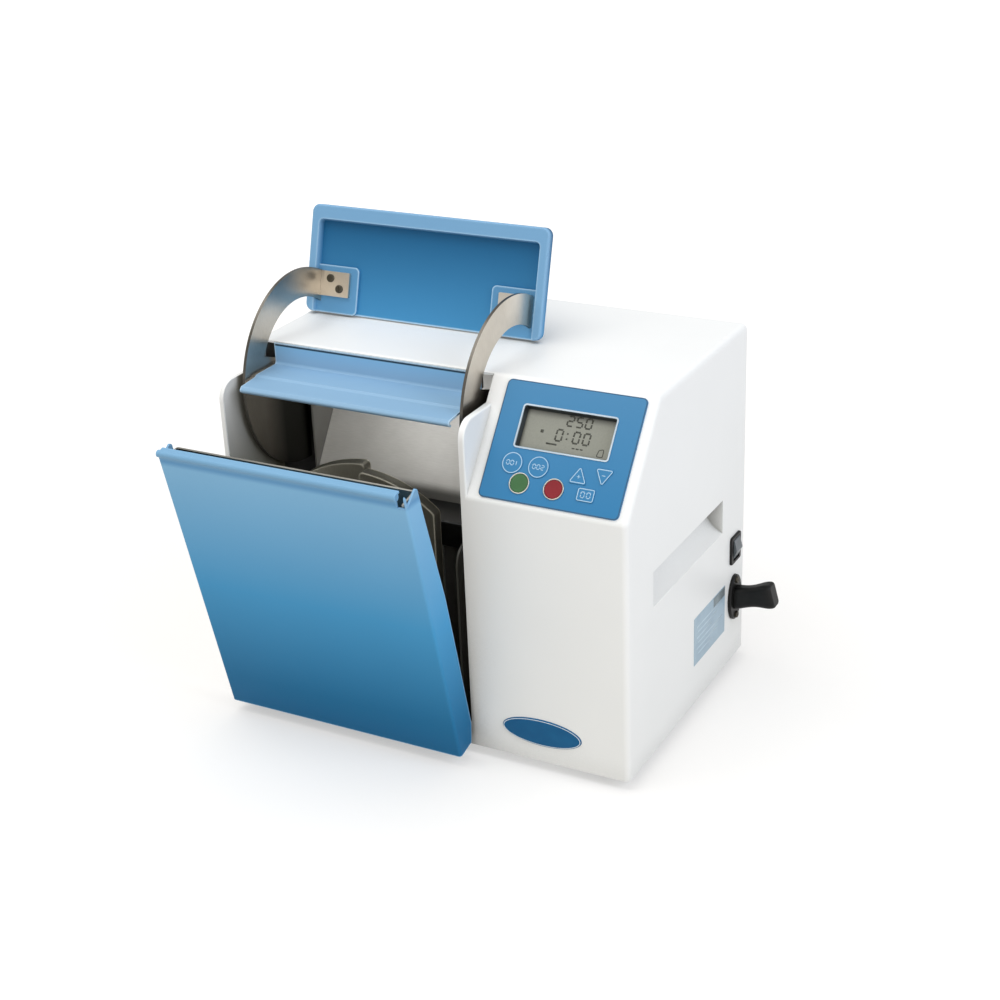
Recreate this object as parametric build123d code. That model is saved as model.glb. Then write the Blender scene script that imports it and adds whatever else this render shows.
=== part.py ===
from build123d import *
import os
from math import acos, atan2, cos, hypot, pi, radians, sin

# Bench-top paddle blender homogenizer. A sample bag hangs in the chamber between the folding
# door and two paddles, which a motor, belt and crank drive back and forth against the bag.
# Working coordinates: X from the housing's left face, Y back from its front face, Z up from the
# bench. At the end every piece is moved so that the origin is the middle of the whole part's
# outer box, on the bench. Each piece is modelled as it stands with the lid and the door open.

# ---------------------------------------------------------------- housing
WIDTH = 430.0              # overall width
DEPTH = 292.0              # front face to the outer face of the rear cover
TOP_Z = 368.0              # top of the housing
FOOT_H = 10.0              # lower edge of the housing, on its feet
WALL = 3.0                 # wall of the housing
COVER_T = 3.0              # rear cover
BASE_T = 3.0               # base plate
RING_W = 12.0              # width of the rear flange that takes the cover
EDGE_R = 6.0               # rounding of the outer side edges
BEND_R = 7.0               # rounding of the bends across the width
CONSOLE_W = 166.0          # console to the right of the chamber
SLOPE_Z = 273.0            # lower edge of the sloping control face
SLOPE_Y = 74.0             # depth at which the slope meets the top
CHEEK_T = 6.0              # thick front part of the side walls beside the chamber
CHEEK_Z = 345.0            # top of the cheeks, which carry the closed lid
CHEEK_R = 18.0             # rounded front corner of a cheek
CHEEK_D = 90.0             # depth of the thick part
SILL_Z = 34.0              # top of the front sill under the chamber
ARM_BAY = 14.0             # slot beside the chamber liner in which a lid arm swings
TOP_FLANGE_H = 15.0        # down-turned front edge of the top slab
GAP = 0.3                  # gap between pieces that move past each other
RUN = 0.05                 # radial clearance of a shaft in its bore

REAR_Y = DEPTH - COVER_T
RING_Y = REAR_Y - WALL
BASE_Z = FOOT_H + BASE_T
CON_X = WIDTH - CONSOLE_W
MID_X = (CHEEK_T + CON_X) / 2
BAY_X0 = CHEEK_T + ARM_BAY
BAY_X1 = CON_X - ARM_BAY
SLOPE_RISE = TOP_Z - SLOPE_Z
SLOPE_L = hypot(SLOPE_Y, SLOPE_RISE)
CHEEK_BACK = (CHEEK_Z - SLOPE_Z) * SLOPE_Y / SLOPE_RISE
SLOPE = Plane(origin=(0, 0, SLOPE_Z), x_dir=(1, 0, 0), z_dir=(0, -SLOPE_RISE, SLOPE_Y))

# Grip pocket, mains switch and mains inlet, all on the right side
GRIP_Y0, GRIP_Y1 = 57.0, DEPTH - 62.0
GRIP_Z0, GRIP_Z1 = 167.0, 203.0
GRIP_DEPTH = 22.0
SWITCH_Y, SWITCH_Z = DEPTH - 28.0, 136.0
SWITCH_W, SWITCH_H = 26.0, 30.0
SWITCH_RIM = 5.0           # width of the bezel round the rocker, at the sides
SWITCH_THROW = 12.0        # degrees from one position to the other
SWITCH_IN = 14.0           # depth of the bezel's cavity behind the rocker
ROCKER_Z = 11.5            # half height of the rocker
ROCKER_OUT = 6.0           # the rocker's ridge stands out of the housing wall
ROCKER_EDGE = 2.0          # the rocker's ends stand out of it
INLET_Y, INLET_Z = DEPTH - 29.0, 81.0
INLET_W, INLET_H = 31.5, 50.0
INLET_T = 3.5
PLUG_W, PLUG_H = 15.2, 24.2
INLET_SCREW = 20.0         # inlet screws above and below the inlet's middle
PIN_X = 18.0               # depth of the inlet's cavity behind the housing wall
PIN_W, PIN_H = 2.0, 4.0    # section of an inlet pin
CONNECTOR_TILT = 15.0      # the connector's moulded body points up from its plug
CONNECTOR_L = 41.0
PLATE_Y, PLATE_Z = DEPTH - 94.5, 79.0
PLATE_W, PLATE_H = 81.0, 52.0

# Badge on the front of the console
BADGE_X, BADGE_Z = CON_X + 76.0, 41.5
BADGE_W, BADGE_H = 83.0, 28.6
BADGE_T = 1.4

# ---------------------------------------------------------------- feet and screws
FOOT_R = 14.0
FOOT_INSET_X, FOOT_INSET_Y = 30.0, 30.0
M4_R = 2.0
M4_HEAD_R = 3.6
M4_HEAD_H = 2.0

# ---------------------------------------------------------------- rear cover's cooling slots
SLOT_BANKS = (0.3, 0.72)   # middle of each bank, as a share of the width
SLOT_ROWS, SLOT_PITCH = 9, 9.0
SLOT_L, SLOT_W = 70.0, 4.0
SLOT_Z = FOOT_H + 60.0     # lowest slot

# ---------------------------------------------------------------- control face (X, up-slope S)
PANEL_T = 1.5
PANEL_X0, PANEL_X1 = CON_X + 17.0, WIDTH - 9.5
PANEL_S0, PANEL_S1 = 3.5, 117.0
PANEL_R = 5.0
CUT_INSET_X, CUT_INSET_S = 9.0, 6.5
DISPLAY_X0, DISPLAY_X1 = PANEL_X0 + 23.0, PANEL_X1 - 23.5
DISPLAY_S0, DISPLAY_S1 = 54.6, 94.7
DISPLAY_RIM = 2.0          # from the bezel's outer edge to the glass
DISPLAY_DEEP = 3.5         # floor of the bezel's mouth below the housing surface
DISPLAY_LIP = 0.7          # bezel's lip on the panel
DISPLAY_SEAT = 0.8         # glass below the floor of the mouth
GLASS_T = 3.0
KEY_PROUD = 0.8
KEY_TRAVEL = 0.5
KEY_FLANGE = 1.0           # flange that holds a key behind the panel: its width and thickness
KEY_FLANGE_TOP = -GAP
KEY_FLANGE_LOW = KEY_FLANGE_TOP - KEY_FLANGE
KEY_STOP = KEY_FLANGE_LOW - KEY_TRAVEL - 0.1   # top of the switch post under a key
BOARD_T = 1.6
BOARD_DEEP = 12.4          # board's upper face below the housing surface
ROUND_KEYS = {
    "key_program": (PANEL_X0 + 25.9, 39.0, 10.3),
    "key_speed": (PANEL_X0 + 52.3, 38.9, 10.3),
    "key_start": (PANEL_X0 + 37.7, 21.4, 8.6),
    "key_stop": (PANEL_X0 + 72.1, 21.3, 8.6),
}
KEY_UP = (PANEL_X0 + 93.0, 38.0)
KEY_DOWN = (PANEL_X0 + 116.3, 39.3)
ARROW_HALF, ARROW_H = 9.2, 16.5
KEY_SET = (PANEL_X0 + 104.0, 21.0)
SET_W, SET_H = 17.0, 12.3
KEY_NAMES = list(ROUND_KEYS) + ["key_up", "key_down", "key_set"]

# ---------------------------------------------------------------- lid (X, up U, inward Z)
PIVOT_Y, PIVOT_Z = 116.2, 320.7
LID_SWING = 106.0          # degrees from open to closed
LID_SHAFT_R = 6.0
LID_REST_GAP = 0.5         # closed lid above the cheeks
LID_REAR_Y = 56.0          # rear edge of the closed lid
LID_SIDE = 1.0             # lid edge inside the housing's left face
LID_L = 108.0
LID_T = 10.5
LID_RECESS = 7.5
LID_RIM = 9.0
LID_TOP_RIM = 14.0
LID_R = 8.0
PAD_X, PAD_U = 49.0, 48.0
PAD_DEEP = 4.5
ARM_T = 3.0
ARM_RING_Y, ARM_RING_Z = 122.0, 325.0     # middle of the arm's bow
ARM_R_OUT, ARM_R_IN = 99.5, 70.0
ARM_HUB_R = 17.0
ARM_FLANGE = 36.5          # inward reach of the flange that is screwed to the lid
ARM_FLANGE_U0, ARM_FLANGE_U1 = 17.0, 42.0
ARM_SCREWS = ((14.5, 35.0), (25.5, 25.0))   # inward from the arm's outer face, and up
ARM_SCREW_HEAD_R = 4.2      # large flat heads
BEARING_HALF = 15.0
BEARING_L_T, BEARING_R_T = 9.0, 6.0
# Web of an arm, from the middle of its bow: it fills the bow below and to the front
ARM_WEB = ((-62, 30), (-14, 13), (3, 4), (3, -110),
           (-60, -110), (-112, -75), (-122, 5), (-102, 45))

# ---------------------------------------------------------------- door (X, up S, outward Z)
DOOR_LEAN = 13.4           # degrees from closed to open
DOOR_PIN_Y, DOOR_PIN_Z = -16.0, 28.0
DOOR_PIN_R = 3.0
DOOR_PIN_S, DOOR_PIN_IN = 11.1, 17.75
DOOR_L = 310.0
DOOR_T = 2.0
DOOR_SIDE = 2.0            # door edge inside the housing's left face
DOOR_LIP = 8.0
DOOR_BEAD_R = 3.5          # rolled bead along the door's top edge, proud of its face
DOOR_BEAD_OUT = 1.0
DOOR_NOTCH_X, DOOR_NOTCH_S = 10.0, 13.0   # open corner beside the right flange
DOOR_RETURN = 22.0
DOOR_FLANGE = 28.7         # depth of the side flanges
TRAY_S0, TRAY_S1 = 26.0, 300.0
TRAY_IN = 22.0
LUG_T = 6.0
BRACKET_T = 4.0
EYE_R = 6.0                # eye of a bracket, round the hinge pin
LUG_INSET = 18.0           # lug from the door's edge

# ---------------------------------------------------------------- chamber and paddles
SHEET = 2.0
LEDGE_Z = CHEEK_Z - 0.5    # upper side of the ledge's shelf at the back
LEDGE_STEP_Y0, LEDGE_STEP_Y1 = 35.0, 38.0      # step across the shelf
LEDGE_STEP = 1.6
LEDGE_LIP_Y, LEDGE_LIP_DROP = 12.0, 3.2        # where the lip starts to turn down
LEDGE_FRONT_Y, LEDGE_FRONT_DROP = 8.0, 7.0     # foremost line of the lip
LEDGE_HEM_Y, LEDGE_HEM_DROP = 13.0, 10.5       # end of the hem below it
LINER_Y = 127.0            # front of the liner's rear wall
LINER_FLOOR_Z = 22.0
LINER_BEND_Z = 212.0
CHUTE_Y, CHUTE_Z = 215.0, 345.0
LINER_FRONT = 12.0
UPPER_FRONT = 125.0        # front edge of the upper side walls, behind the arms
PADDLE_GAP = 4.0           # between the two paddles
PADDLE_W = BAY_X1 - MID_X - 33.0
PADDLE_Z0 = 40.0
PADDLE_ARCH_Z, PADDLE_ARCH_R = 136.0, 130.0
PADDLE_Y = 26.0            # face of a paddle at the front of its stroke
PADDLE_EDGE = 12.0
STROKE = 18.0
ROD_R = 6.0
ROD_X = 43.0               # rod from the chamber's middle
AXIS_Z = 186.0             # rods and crankshaft
GUIDE_IN, GUIDE_END = 15.0, 10.0   # a guide block's ends from the chamber's middle and wall
GUIDE_W, GUIDE_D, GUIDE_H = BAY_X1 - MID_X - GUIDE_IN - GUIDE_END, 43.0, 27.0
GUIDE_SPREAD = GUIDE_IN + GUIDE_W / 2   # middle of a guide block from the chamber's middle
BUSH_R, BUSH_OUT = 9.0, 4.0
GUIDE_LEG_X = 55.0         # leg of a guide bracket from the chamber's middle
GUIDE_LEG_D = 39.0

# ---------------------------------------------------------------- drive
CRANK_Y = 185.0
CRANK_SHAFT_R = 7.0
CRANK_R = 22.0
CRANK_T = 6.0
CRANK_SPAN = 35.0          # outer face of a crank disc from the middle
PIN_R = 4.0
PIN_GAP = 0.5              # crank pin short of its yoke
YOKE_T = 4.0
YOKE_Z = 31.0              # half height of a yoke
YOKE_FRONT, YOKE_BACK = 23.0, 14.0   # yoke's edges from its crank pin
PEDESTAL_X = 17.0          # middle of a pedestal from the chamber's middle
PEDESTAL_T = 12.0
RACE_R = 16.0
PULLEY_T = 12.0
PULLEY_R, PULLEY_RIM = 40.0, 43.0
MOTOR_PULLEY_R = 20.0      # half the driven pulley: the crank turns at half the motor's speed
BELT_T = 2.5
MOTOR_SHAFT_R = 5.0
MOTOR_PLATE_X = 23.5       # motor bracket from the chamber's middle
MOTOR_FACE = MID_X + MOTOR_PLATE_X + WALL
MOTOR_R = 45.0
MOTOR_L = CON_X - 6.5 - MOTOR_FACE
MOTOR_Y, MOTOR_Z = REAR_Y - MOTOR_R - 9.0, 80.0
MOTOR_FIN_X, MOTOR_FIN_PITCH = 22.0, 8.0   # first groove from the motor's face, and their pitch
MOTOR_BOX_X = 30.0         # terminal box from the motor's face

# ---------------------------------------------------------------- power supply
SUPPLY_X, SUPPLY_Y = CON_X + 26.0, 60.0
SUPPLY_W, SUPPLY_D = 110.0, 140.0
SUPPLY_EDGE = 6.0          # spacer from the board's edge
SUPPLY_UP = 8.0            # length of a spacer
CAPACITOR_R, CAPACITOR_H, CAPACITOR_PITCH = 9.0, 30.0, 24.0


# ================================================================ helpers
def block(x0, x1, y0, y1, z0, z1):
    """A box between three pairs of planes."""
    return Pos((x0 + x1) / 2, (y0 + y1) / 2, (z0 + z1) / 2) * Box(x1 - x0, y1 - y0, z1 - z0)


def outline(points, corners=()):
    """A flat face through the points, with (index, radius) corners rounded."""
    face = make_face(Polyline(*points, close=True))
    for index, radius in corners:
        face = fillet(face.vertices().sort_by_distance(points[index])[0], radius)
    return face


def prism_x(face, x0, x1):
    """A (Y, Z) face made solid between two X planes."""
    return extrude(Plane.YZ.offset(x0) * face, amount=x1 - x0)


def plate(x0, x1, y0, y1, z0, z1, radius):
    """A flat plate with rounded corners, its thickness along Z."""
    face = Pos((x0 + x1) / 2, (y0 + y1) / 2, z0) * RectangleRounded(x1 - x0, y1 - y0, radius)
    return extrude(face, amount=z1 - z0)


def rod_x(y, z, radius, x0, x1):
    """A round bar along X."""
    return Pos((x0 + x1) / 2, y, z) * Rot(0, 90, 0) * Cylinder(radius, x1 - x0)


def rod_y(x, z, radius, y0, y1):
    """A round bar along Y."""
    return Pos(x, (y0 + y1) / 2, z) * Rot(90, 0, 0) * Cylinder(radius, y1 - y0)


def rod_z(x, y, radius, z0, z1):
    """A round bar along Z."""
    return Pos(x, y, (z0 + z1) / 2) * Cylinder(radius, z1 - z0)


def folded(path, radius, thick, x0, x1):
    """Sheet folded along a (Y, Z) path, its thickness to the left of the path."""
    line = FilletPolyline(*path, radius=radius)
    return prism_x(make_face(offset(line, amount=thick, side=Side.LEFT)), x0, x1)


def screw(head_r, head_h, shank_l):
    """A pan-head screw along Z, its head on Z = 0 and its shank below."""
    head = rod_z(0, 0, head_r, 0, head_h)
    head = fillet(head.edges().sort_by(Axis.Z)[-1], head_h / 2)
    slot = block(-head_r * 0.6, head_r * 0.6, -0.4, 0.4, head_h * 0.55, head_h + 1)
    return head - slot - Rot(0, 0, 90) * slot + rod_z(0, 0, M4_R, -shank_l, 0)


def mirrored(part):
    """The same piece on the other side of the chamber's middle plane."""
    return mirror(part, about=Plane.YZ.offset(MID_X))


def edges_where(part, test):
    """The edges whose middle point passes the test."""
    return [edge for edge in part.edges() if test(edge.center())]


# ================================================================ housing
def cheek_points(back):
    """Side outline beside the chamber: upright front, flat top, slope, top slab."""
    return [(0, FOOT_H), (0, CHEEK_Z), (CHEEK_BACK, CHEEK_Z), (SLOPE_Y, TOP_Z),
            (back, TOP_Z), (back, FOOT_H)]


def console_points(wall):
    """Outline of the console, or of its cavity one wall further in."""
    run = SLOPE_Y / SLOPE_RISE
    inset = wall * SLOPE_L / SLOPE_RISE
    front_top = SLOPE_Z + (wall - inset) / run
    roof = TOP_Z - wall
    slope_top = (roof - SLOPE_Z) * run + inset
    floor = FOOT_H if wall == 0 else FOOT_H - 1
    back = REAR_Y if wall == 0 else RING_Y
    return [(wall, floor), (wall, front_top), (slope_top, roof), (back, roof), (back, floor)]


def grip_pocket(grow):
    """The finger pocket's space, or that space grown by its wall: shallow below, deep above."""
    mid = (GRIP_Z0 + GRIP_Z1) / 2
    inner, outer = WIDTH - GRIP_DEPTH, WIDTH + 10
    path = ThreePointArc((WIDTH, GRIP_Z0), (WIDTH - GRIP_DEPTH * 0.7, mid - 5), (inner, GRIP_Z1 - 6))
    rest = Polyline(path @ 1, (inner, GRIP_Z1), (outer, GRIP_Z1), (outer, GRIP_Z0), path @ 0)
    face = make_face([path, rest])
    if grow > 0:
        face = offset(face, amount=grow)
    # the face is drawn in (X, Z) and pushed back along Y
    face = Pos(0, GRIP_Y0 - grow, 0) * Rot(90, 0, 0) * face
    return extrude(face, amount=-(GRIP_Y1 - GRIP_Y0 + 2 * grow))


def housing():
    """Casing: the walls round the chamber, the console on the right, and every opening."""
    def outer(c):
        return c.Z > FOOT_H + 1 and c.Y < REAR_Y - 1

    bends = ((1, CHEEK_R), (3, BEND_R))
    left = prism_x(outline(cheek_points(REAR_Y), bends), 0, CON_X)
    left = fillet(edges_where(left, lambda c: c.X < 0.01 and outer(c)), EDGE_R / 2)
    right = prism_x(outline(console_points(0), ((1, BEND_R), (2, BEND_R))), CON_X, WIDTH)
    right = fillet(edges_where(right, lambda c: c.X > WIDTH - 0.01 and outer(c)), EDGE_R)
    fin_x = CON_X + CHEEK_T
    fin = prism_x(outline(cheek_points(SLOPE_Y + BEND_R), bends), CON_X, fin_x)
    fin = fillet(edges_where(fin, lambda c: c.X > fin_x - 0.01 and c.Y < SLOPE_Y and c.Z > SLOPE_Z), 1.5)
    shell = left + right + fin
    # chamber, open at the front above the sill and open at the top in front of the slab
    shell -= block(CHEEK_T, CON_X, -1, SLOPE_Y, SILL_Z, TOP_Z + 1)
    shell -= block(CHEEK_T, CON_X, WALL, CHEEK_D, FOOT_H - 1, TOP_Z - WALL)
    shell -= block(WALL, CON_X, CHEEK_D, RING_Y, FOOT_H - 1, TOP_Z - WALL)
    # console cavity, base plate seat and the opening for the rear cover
    shell -= prism_x(outline(console_points(WALL)), CON_X + WALL, WIDTH - WALL)
    shell -= block(WALL, WIDTH - WALL, WALL, RING_Y, FOOT_H - 1, BASE_Z)
    shell -= block(RING_W, WIDTH - RING_W, RING_Y - 1, REAR_Y + 1, FOOT_H + RING_W, TOP_Z - RING_W)
    shell += block(BAY_X0, BAY_X1, SLOPE_Y, SLOPE_Y + WALL, TOP_Z - WALL - TOP_FLANGE_H, TOP_Z - WALL)
    # finger grip on the right side
    wall = grip_pocket(WALL) & block(CON_X + WALL, WIDTH - WALL, 0, REAR_Y, FOOT_H, TOP_Z)
    shell = shell + wall - grip_pocket(0)
    # openings for the control face, the switch and the inlet
    window = plate(PANEL_X0 + CUT_INSET_X, PANEL_X1 - CUT_INSET_X, PANEL_S0 + CUT_INSET_S,
                   PANEL_S1 - CUT_INSET_X, -WALL - 1, 1, PANEL_R)
    shell -= SLOPE * window
    shell -= block(WIDTH - WALL - 1, WIDTH + 1, SWITCH_Y - SWITCH_W / 2 + 2, SWITCH_Y + SWITCH_W / 2 - 2,
                   SWITCH_Z - SWITCH_H / 2 + 1.5, SWITCH_Z + SWITCH_H / 2 - 1.5)
    shell -= block(WIDTH - WALL - 1, WIDTH + 1, INLET_Y - PLUG_W / 2 - 2.5, INLET_Y + PLUG_W / 2 + 2.5,
                   INLET_Z - PLUG_H / 2 - 2.5, INLET_Z + PLUG_H / 2 + 2.5)
    for dz in (-1, 1):
        shell -= rod_x(INLET_Y, INLET_Z + dz * INLET_SCREW, M4_R + RUN, WIDTH - WALL - 1, WIDTH + 1)
    for x, z in cover_screw_places():
        shell -= rod_y(x, z, M4_R + RUN, RING_Y - 1, REAR_Y + 1)
    return shell


def base_plate():
    """Flat plate that closes the casing below, with a hole for each foot's screw."""
    base = block(WALL, WIDTH - WALL, WALL, RING_Y, FOOT_H, BASE_Z)
    for x, y in foot_places():
        base -= rod_z(x, y, M4_R + RUN, FOOT_H - 1, BASE_Z + 1)
    return base


def foot_places():
    """Middles of the four feet, front ones first."""
    sides = (FOOT_INSET_X, WIDTH - FOOT_INSET_X)
    return [(x, y) for y in (FOOT_INSET_Y, DEPTH - FOOT_INSET_Y) for x in sides]


def foot(x, y):
    """A tapered rubber foot with a recess for its screw."""
    rubber = Pos(x, y, FOOT_H / 2) * Cone(FOOT_R - 2, FOOT_R, FOOT_H)
    rubber -= rod_z(x, y, M4_HEAD_R + 1, -1, FOOT_H * 0.6)
    return rubber - rod_z(x, y, M4_R + RUN, 0, FOOT_H + 1)


def foot_screws():
    """The four screws that hold the feet, heads down in their recesses."""
    one = Rot(180, 0, 0) * screw(M4_HEAD_R, M4_HEAD_H, FOOT_H * 0.4 + BASE_T + 3)
    return Compound([Pos(x, y, FOOT_H * 0.6) * one for x, y in foot_places()])


def cover_screw_places():
    """Three screws along the cover's lower edge and three along its upper edge."""
    low = FOOT_H + RING_W / 2
    high = TOP_Z - RING_W + M4_HEAD_R - 1
    side = RING_W - M4_HEAD_R
    return [(x, z) for z in (low, high) for x in (side, WIDTH / 2, WIDTH - side)]


def rear_cover():
    """Flat rear cover with two banks of cooling slots, beside the motor and the power supply."""
    cover = Plane.XZ.offset(-REAR_Y) * (Pos(WIDTH / 2, (FOOT_H + TOP_Z) / 2) * RectangleRounded(
        WIDTH - 7, TOP_Z - FOOT_H - 7, EDGE_R))
    cover = extrude(cover, amount=-COVER_T)
    slot = extrude(SlotOverall(SLOT_L, SLOT_W), amount=COVER_T, both=True)
    for bank in SLOT_BANKS:
        for row in range(SLOT_ROWS):
            z = SLOT_Z + row * SLOT_PITCH
            cover -= Pos(WIDTH * bank, REAR_Y + COVER_T / 2, z) * Rot(90, 0, 0) * slot
    for x, z in cover_screw_places():
        cover -= rod_y(x, z, M4_R + RUN, REAR_Y - 1, DEPTH + 1)
    return cover


def rear_cover_screws():
    """The six screws of the rear cover, heads to the back."""
    one = Rot(-90, 0, 0) * screw(M4_HEAD_R, M4_HEAD_H, COVER_T + WALL + 2)
    return Compound([Pos(x, DEPTH, z) * one for x, z in cover_screw_places()])


# ================================================================ control face
def key_face(name):
    """Outline of a key's cap in the plane of the control face."""
    if name in ROUND_KEYS:
        x, s, radius = ROUND_KEYS[name]
        return Pos(x, s) * Circle(radius)
    if name == "key_set":
        return Pos(*KEY_SET) * RectangleRounded(SET_W, SET_H, 2)
    x, s = KEY_UP if name == "key_up" else KEY_DOWN
    point = 1 if name == "key_up" else -1
    half = ARROW_H / 2 * point
    corners = [(x - ARROW_HALF, s - half), (x + ARROW_HALF, s - half), (x, s + half)]
    return outline(corners, ((0, 1.5), (1, 1.5), (2, 1.5)))


def key(name):
    """A key cap, slightly rounded at its face, with the flange that keeps it behind the panel."""
    face = key_face(name)
    cap = extrude(Pos(0, 0, KEY_FLANGE_LOW) * face, amount=PANEL_T + KEY_PROUD - KEY_FLANGE_LOW)
    cap = fillet(cap.faces().sort_by(Axis.Z)[-1].edges(), 0.5)
    flange = extrude(Pos(0, 0, KEY_FLANGE_LOW) * offset(face, amount=KEY_FLANGE),
                     amount=KEY_FLANGE_TOP - KEY_FLANGE_LOW)
    return SLOPE * (cap + flange)


def keypad_panel():
    """Panel on the sloping face, with an opening for each key and one for the display."""
    panel = plate(PANEL_X0, PANEL_X1, PANEL_S0, PANEL_S1, 0, PANEL_T, PANEL_R)
    panel = fillet(panel.faces().sort_by(Axis.Z)[-1].edges(), 0.5)
    for name in KEY_NAMES:
        panel -= extrude(Pos(0, 0, -1) * offset(key_face(name), amount=0.15), amount=PANEL_T + 2)
    panel -= plate(DISPLAY_X0 + RUN, DISPLAY_X1 - RUN, DISPLAY_S0 + RUN, DISPLAY_S1 - RUN,
                   -1, PANEL_T + 1, 3)
    return SLOPE * panel


def display_opening():
    """Middle, width and height of the bezel's opening at its floor."""
    wide = DISPLAY_X1 - DISPLAY_X0 - 2 * DISPLAY_RIM
    tall = DISPLAY_S1 - DISPLAY_S0 - 2 * DISPLAY_RIM
    return (DISPLAY_X0 + DISPLAY_X1) / 2, (DISPLAY_S0 + DISPLAY_S1) / 2, wide, tall


def display_frame():
    """Bezel sunk into the panel: a thin lip on the panel and walls that slope to the glass."""
    low = -DISPLAY_DEEP - 4
    lip = PANEL_T + DISPLAY_LIP
    frame = plate(DISPLAY_X0 + GAP, DISPLAY_X1 - GAP, DISPLAY_S0 + GAP, DISPLAY_S1 - GAP,
                  low, PANEL_T, 3 - GAP)
    frame += plate(DISPLAY_X0 - 1, DISPLAY_X1 + 1, DISPLAY_S0 - 1, DISPLAY_S1 + 1, PANEL_T, lip, 3.5)
    cx, cs, wide, tall = display_opening()
    mouth = Pos(cx, cs, lip) * RectangleRounded(wide + 3, tall + 3, 2)
    throat = Pos(cx, cs, -DISPLAY_DEEP) * RectangleRounded(wide, tall, 1)
    frame -= loft([throat, mouth])
    seat = Pos(cx, cs, low - 1) * RectangleRounded(wide + 1.4, tall + 1.4, 1)
    frame -= extrude(seat, amount=-DISPLAY_DEEP - DISPLAY_SEAT - low + 1)
    return SLOPE * (frame - Pos(cx, cs, -DISPLAY_DEEP) * Box(wide, tall, 4))


def display_glass():
    """Glass behind the bezel's mouth, held by its edges."""
    cx, cs, wide, tall = display_opening()
    half_x, half_s = wide / 2 + 0.6, tall / 2 + 0.6
    top = -DISPLAY_DEEP - DISPLAY_SEAT
    return SLOPE * plate(cx - half_x, cx + half_x, cs - half_s, cs + half_s, top - GLASS_T, top, 1)


def control_board():
    """Board on four spacers under the control face, with a switch post under each key."""
    low = -BOARD_DEEP - BOARD_T
    board = plate(PANEL_X0 + 2, PANEL_X1 - 2, PANEL_S0 + 3, PANEL_S1 - 5, low, -BOARD_DEEP, 3)
    for x in (PANEL_X0 + CUT_INSET_X - 3, PANEL_X1 - CUT_INSET_X + 3):
        for s in (PANEL_S0 + 16, PANEL_S1 - 18):
            board += rod_z(x, s, 2.5, -BOARD_DEEP, -WALL)
    for name in KEY_NAMES:
        centre = key_face(name).center()
        board += rod_z(centre.X, centre.Y, 2.2, -BOARD_DEEP, KEY_STOP)
    board += block(DISPLAY_X0 + 20, DISPLAY_X1 - 20, DISPLAY_S0 + 10, DISPLAY_S1 - 10,
                   -BOARD_DEEP, -DISPLAY_DEEP - DISPLAY_SEAT - GLASS_T)
    return SLOPE * board


def badge_plate():
    """Bare oval plate on the front, with a softly rounded edge."""
    oval = extrude(Ellipse(BADGE_W / 2, BADGE_H / 2), amount=BADGE_T)
    oval = fillet(oval.faces().sort_by(Axis.Z)[-1].edges(), 0.6)
    return Pos(BADGE_X, 0, BADGE_Z) * Rot(90, 0, 0) * oval


def rating_plate():
    """Thin bare plate on the right side."""
    return block(WIDTH, WIDTH + 0.5, PLATE_Y - PLATE_W / 2, PLATE_Y + PLATE_W / 2,
                 PLATE_Z - PLATE_H / 2, PLATE_Z + PLATE_H / 2)


# ================================================================ switch and inlet
SIDE = Plane(origin=(WIDTH, 0, 0), x_dir=(0, 1, 0), z_dir=(1, 0, 0))   # (Y, Z, out of the right side)


def switch_bezel():
    """Rim on the side wall, and the body behind it that carries the rocker's pin."""
    rim = plate(SWITCH_Y - SWITCH_W / 2, SWITCH_Y + SWITCH_W / 2, SWITCH_Z - SWITCH_H / 2,
                SWITCH_Z + SWITCH_H / 2, 0, 2.5, 3)
    rim = fillet(rim.faces().sort_by(Axis.Z)[-1].edges(), 0.8)
    rim += block(SWITCH_Y - SWITCH_W / 2 + 2, SWITCH_Y + SWITCH_W / 2 - 2, SWITCH_Z - SWITCH_H / 2 + 1.5,
                 SWITCH_Z + SWITCH_H / 2 - 1.5, -SWITCH_IN - 10, 0)
    half = SWITCH_W / 2 - SWITCH_RIM
    reach = hypot(ROCKER_Z, ROCKER_EDGE) + GAP
    rim -= block(SWITCH_Y - half, SWITCH_Y + half, SWITCH_Z - reach, SWITCH_Z + reach, -SWITCH_IN, 3)
    rim = SIDE * rim
    return rim + rod_y(WIDTH, SWITCH_Z, 1.5, SWITCH_Y - half - 0.5, SWITCH_Y + half + 0.5)


def switch_rocker():
    """Rocker whose two halves meet in a ridge, resting with its lower half pressed."""
    half = SWITCH_W / 2 - SWITCH_RIM - GAP
    points = [(-7, -6), (-2, -ROCKER_Z), (ROCKER_EDGE, -ROCKER_Z), (ROCKER_OUT, 0),
              (ROCKER_EDGE, ROCKER_Z), (-2, ROCKER_Z), (-7, 6)]
    face = outline(points, ((2, 1), (3, 1), (4, 1)))
    body = extrude(Rot(90, 0, 0) * face, amount=half, both=True)
    body -= Rot(90, 0, 0) * Cylinder(1.5 + RUN, 3 * half)
    return Pos(WIDTH, SWITCH_Y, SWITCH_Z) * Rot(0, SWITCH_THROW / 2, 0) * body


def pin_places():
    """The three inlet pins: two in a row and one set to the front."""
    return [(INLET_Y + 2, INLET_Z - 7), (INLET_Y - 2, INLET_Z), (INLET_Y + 2, INLET_Z + 7)]


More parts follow.
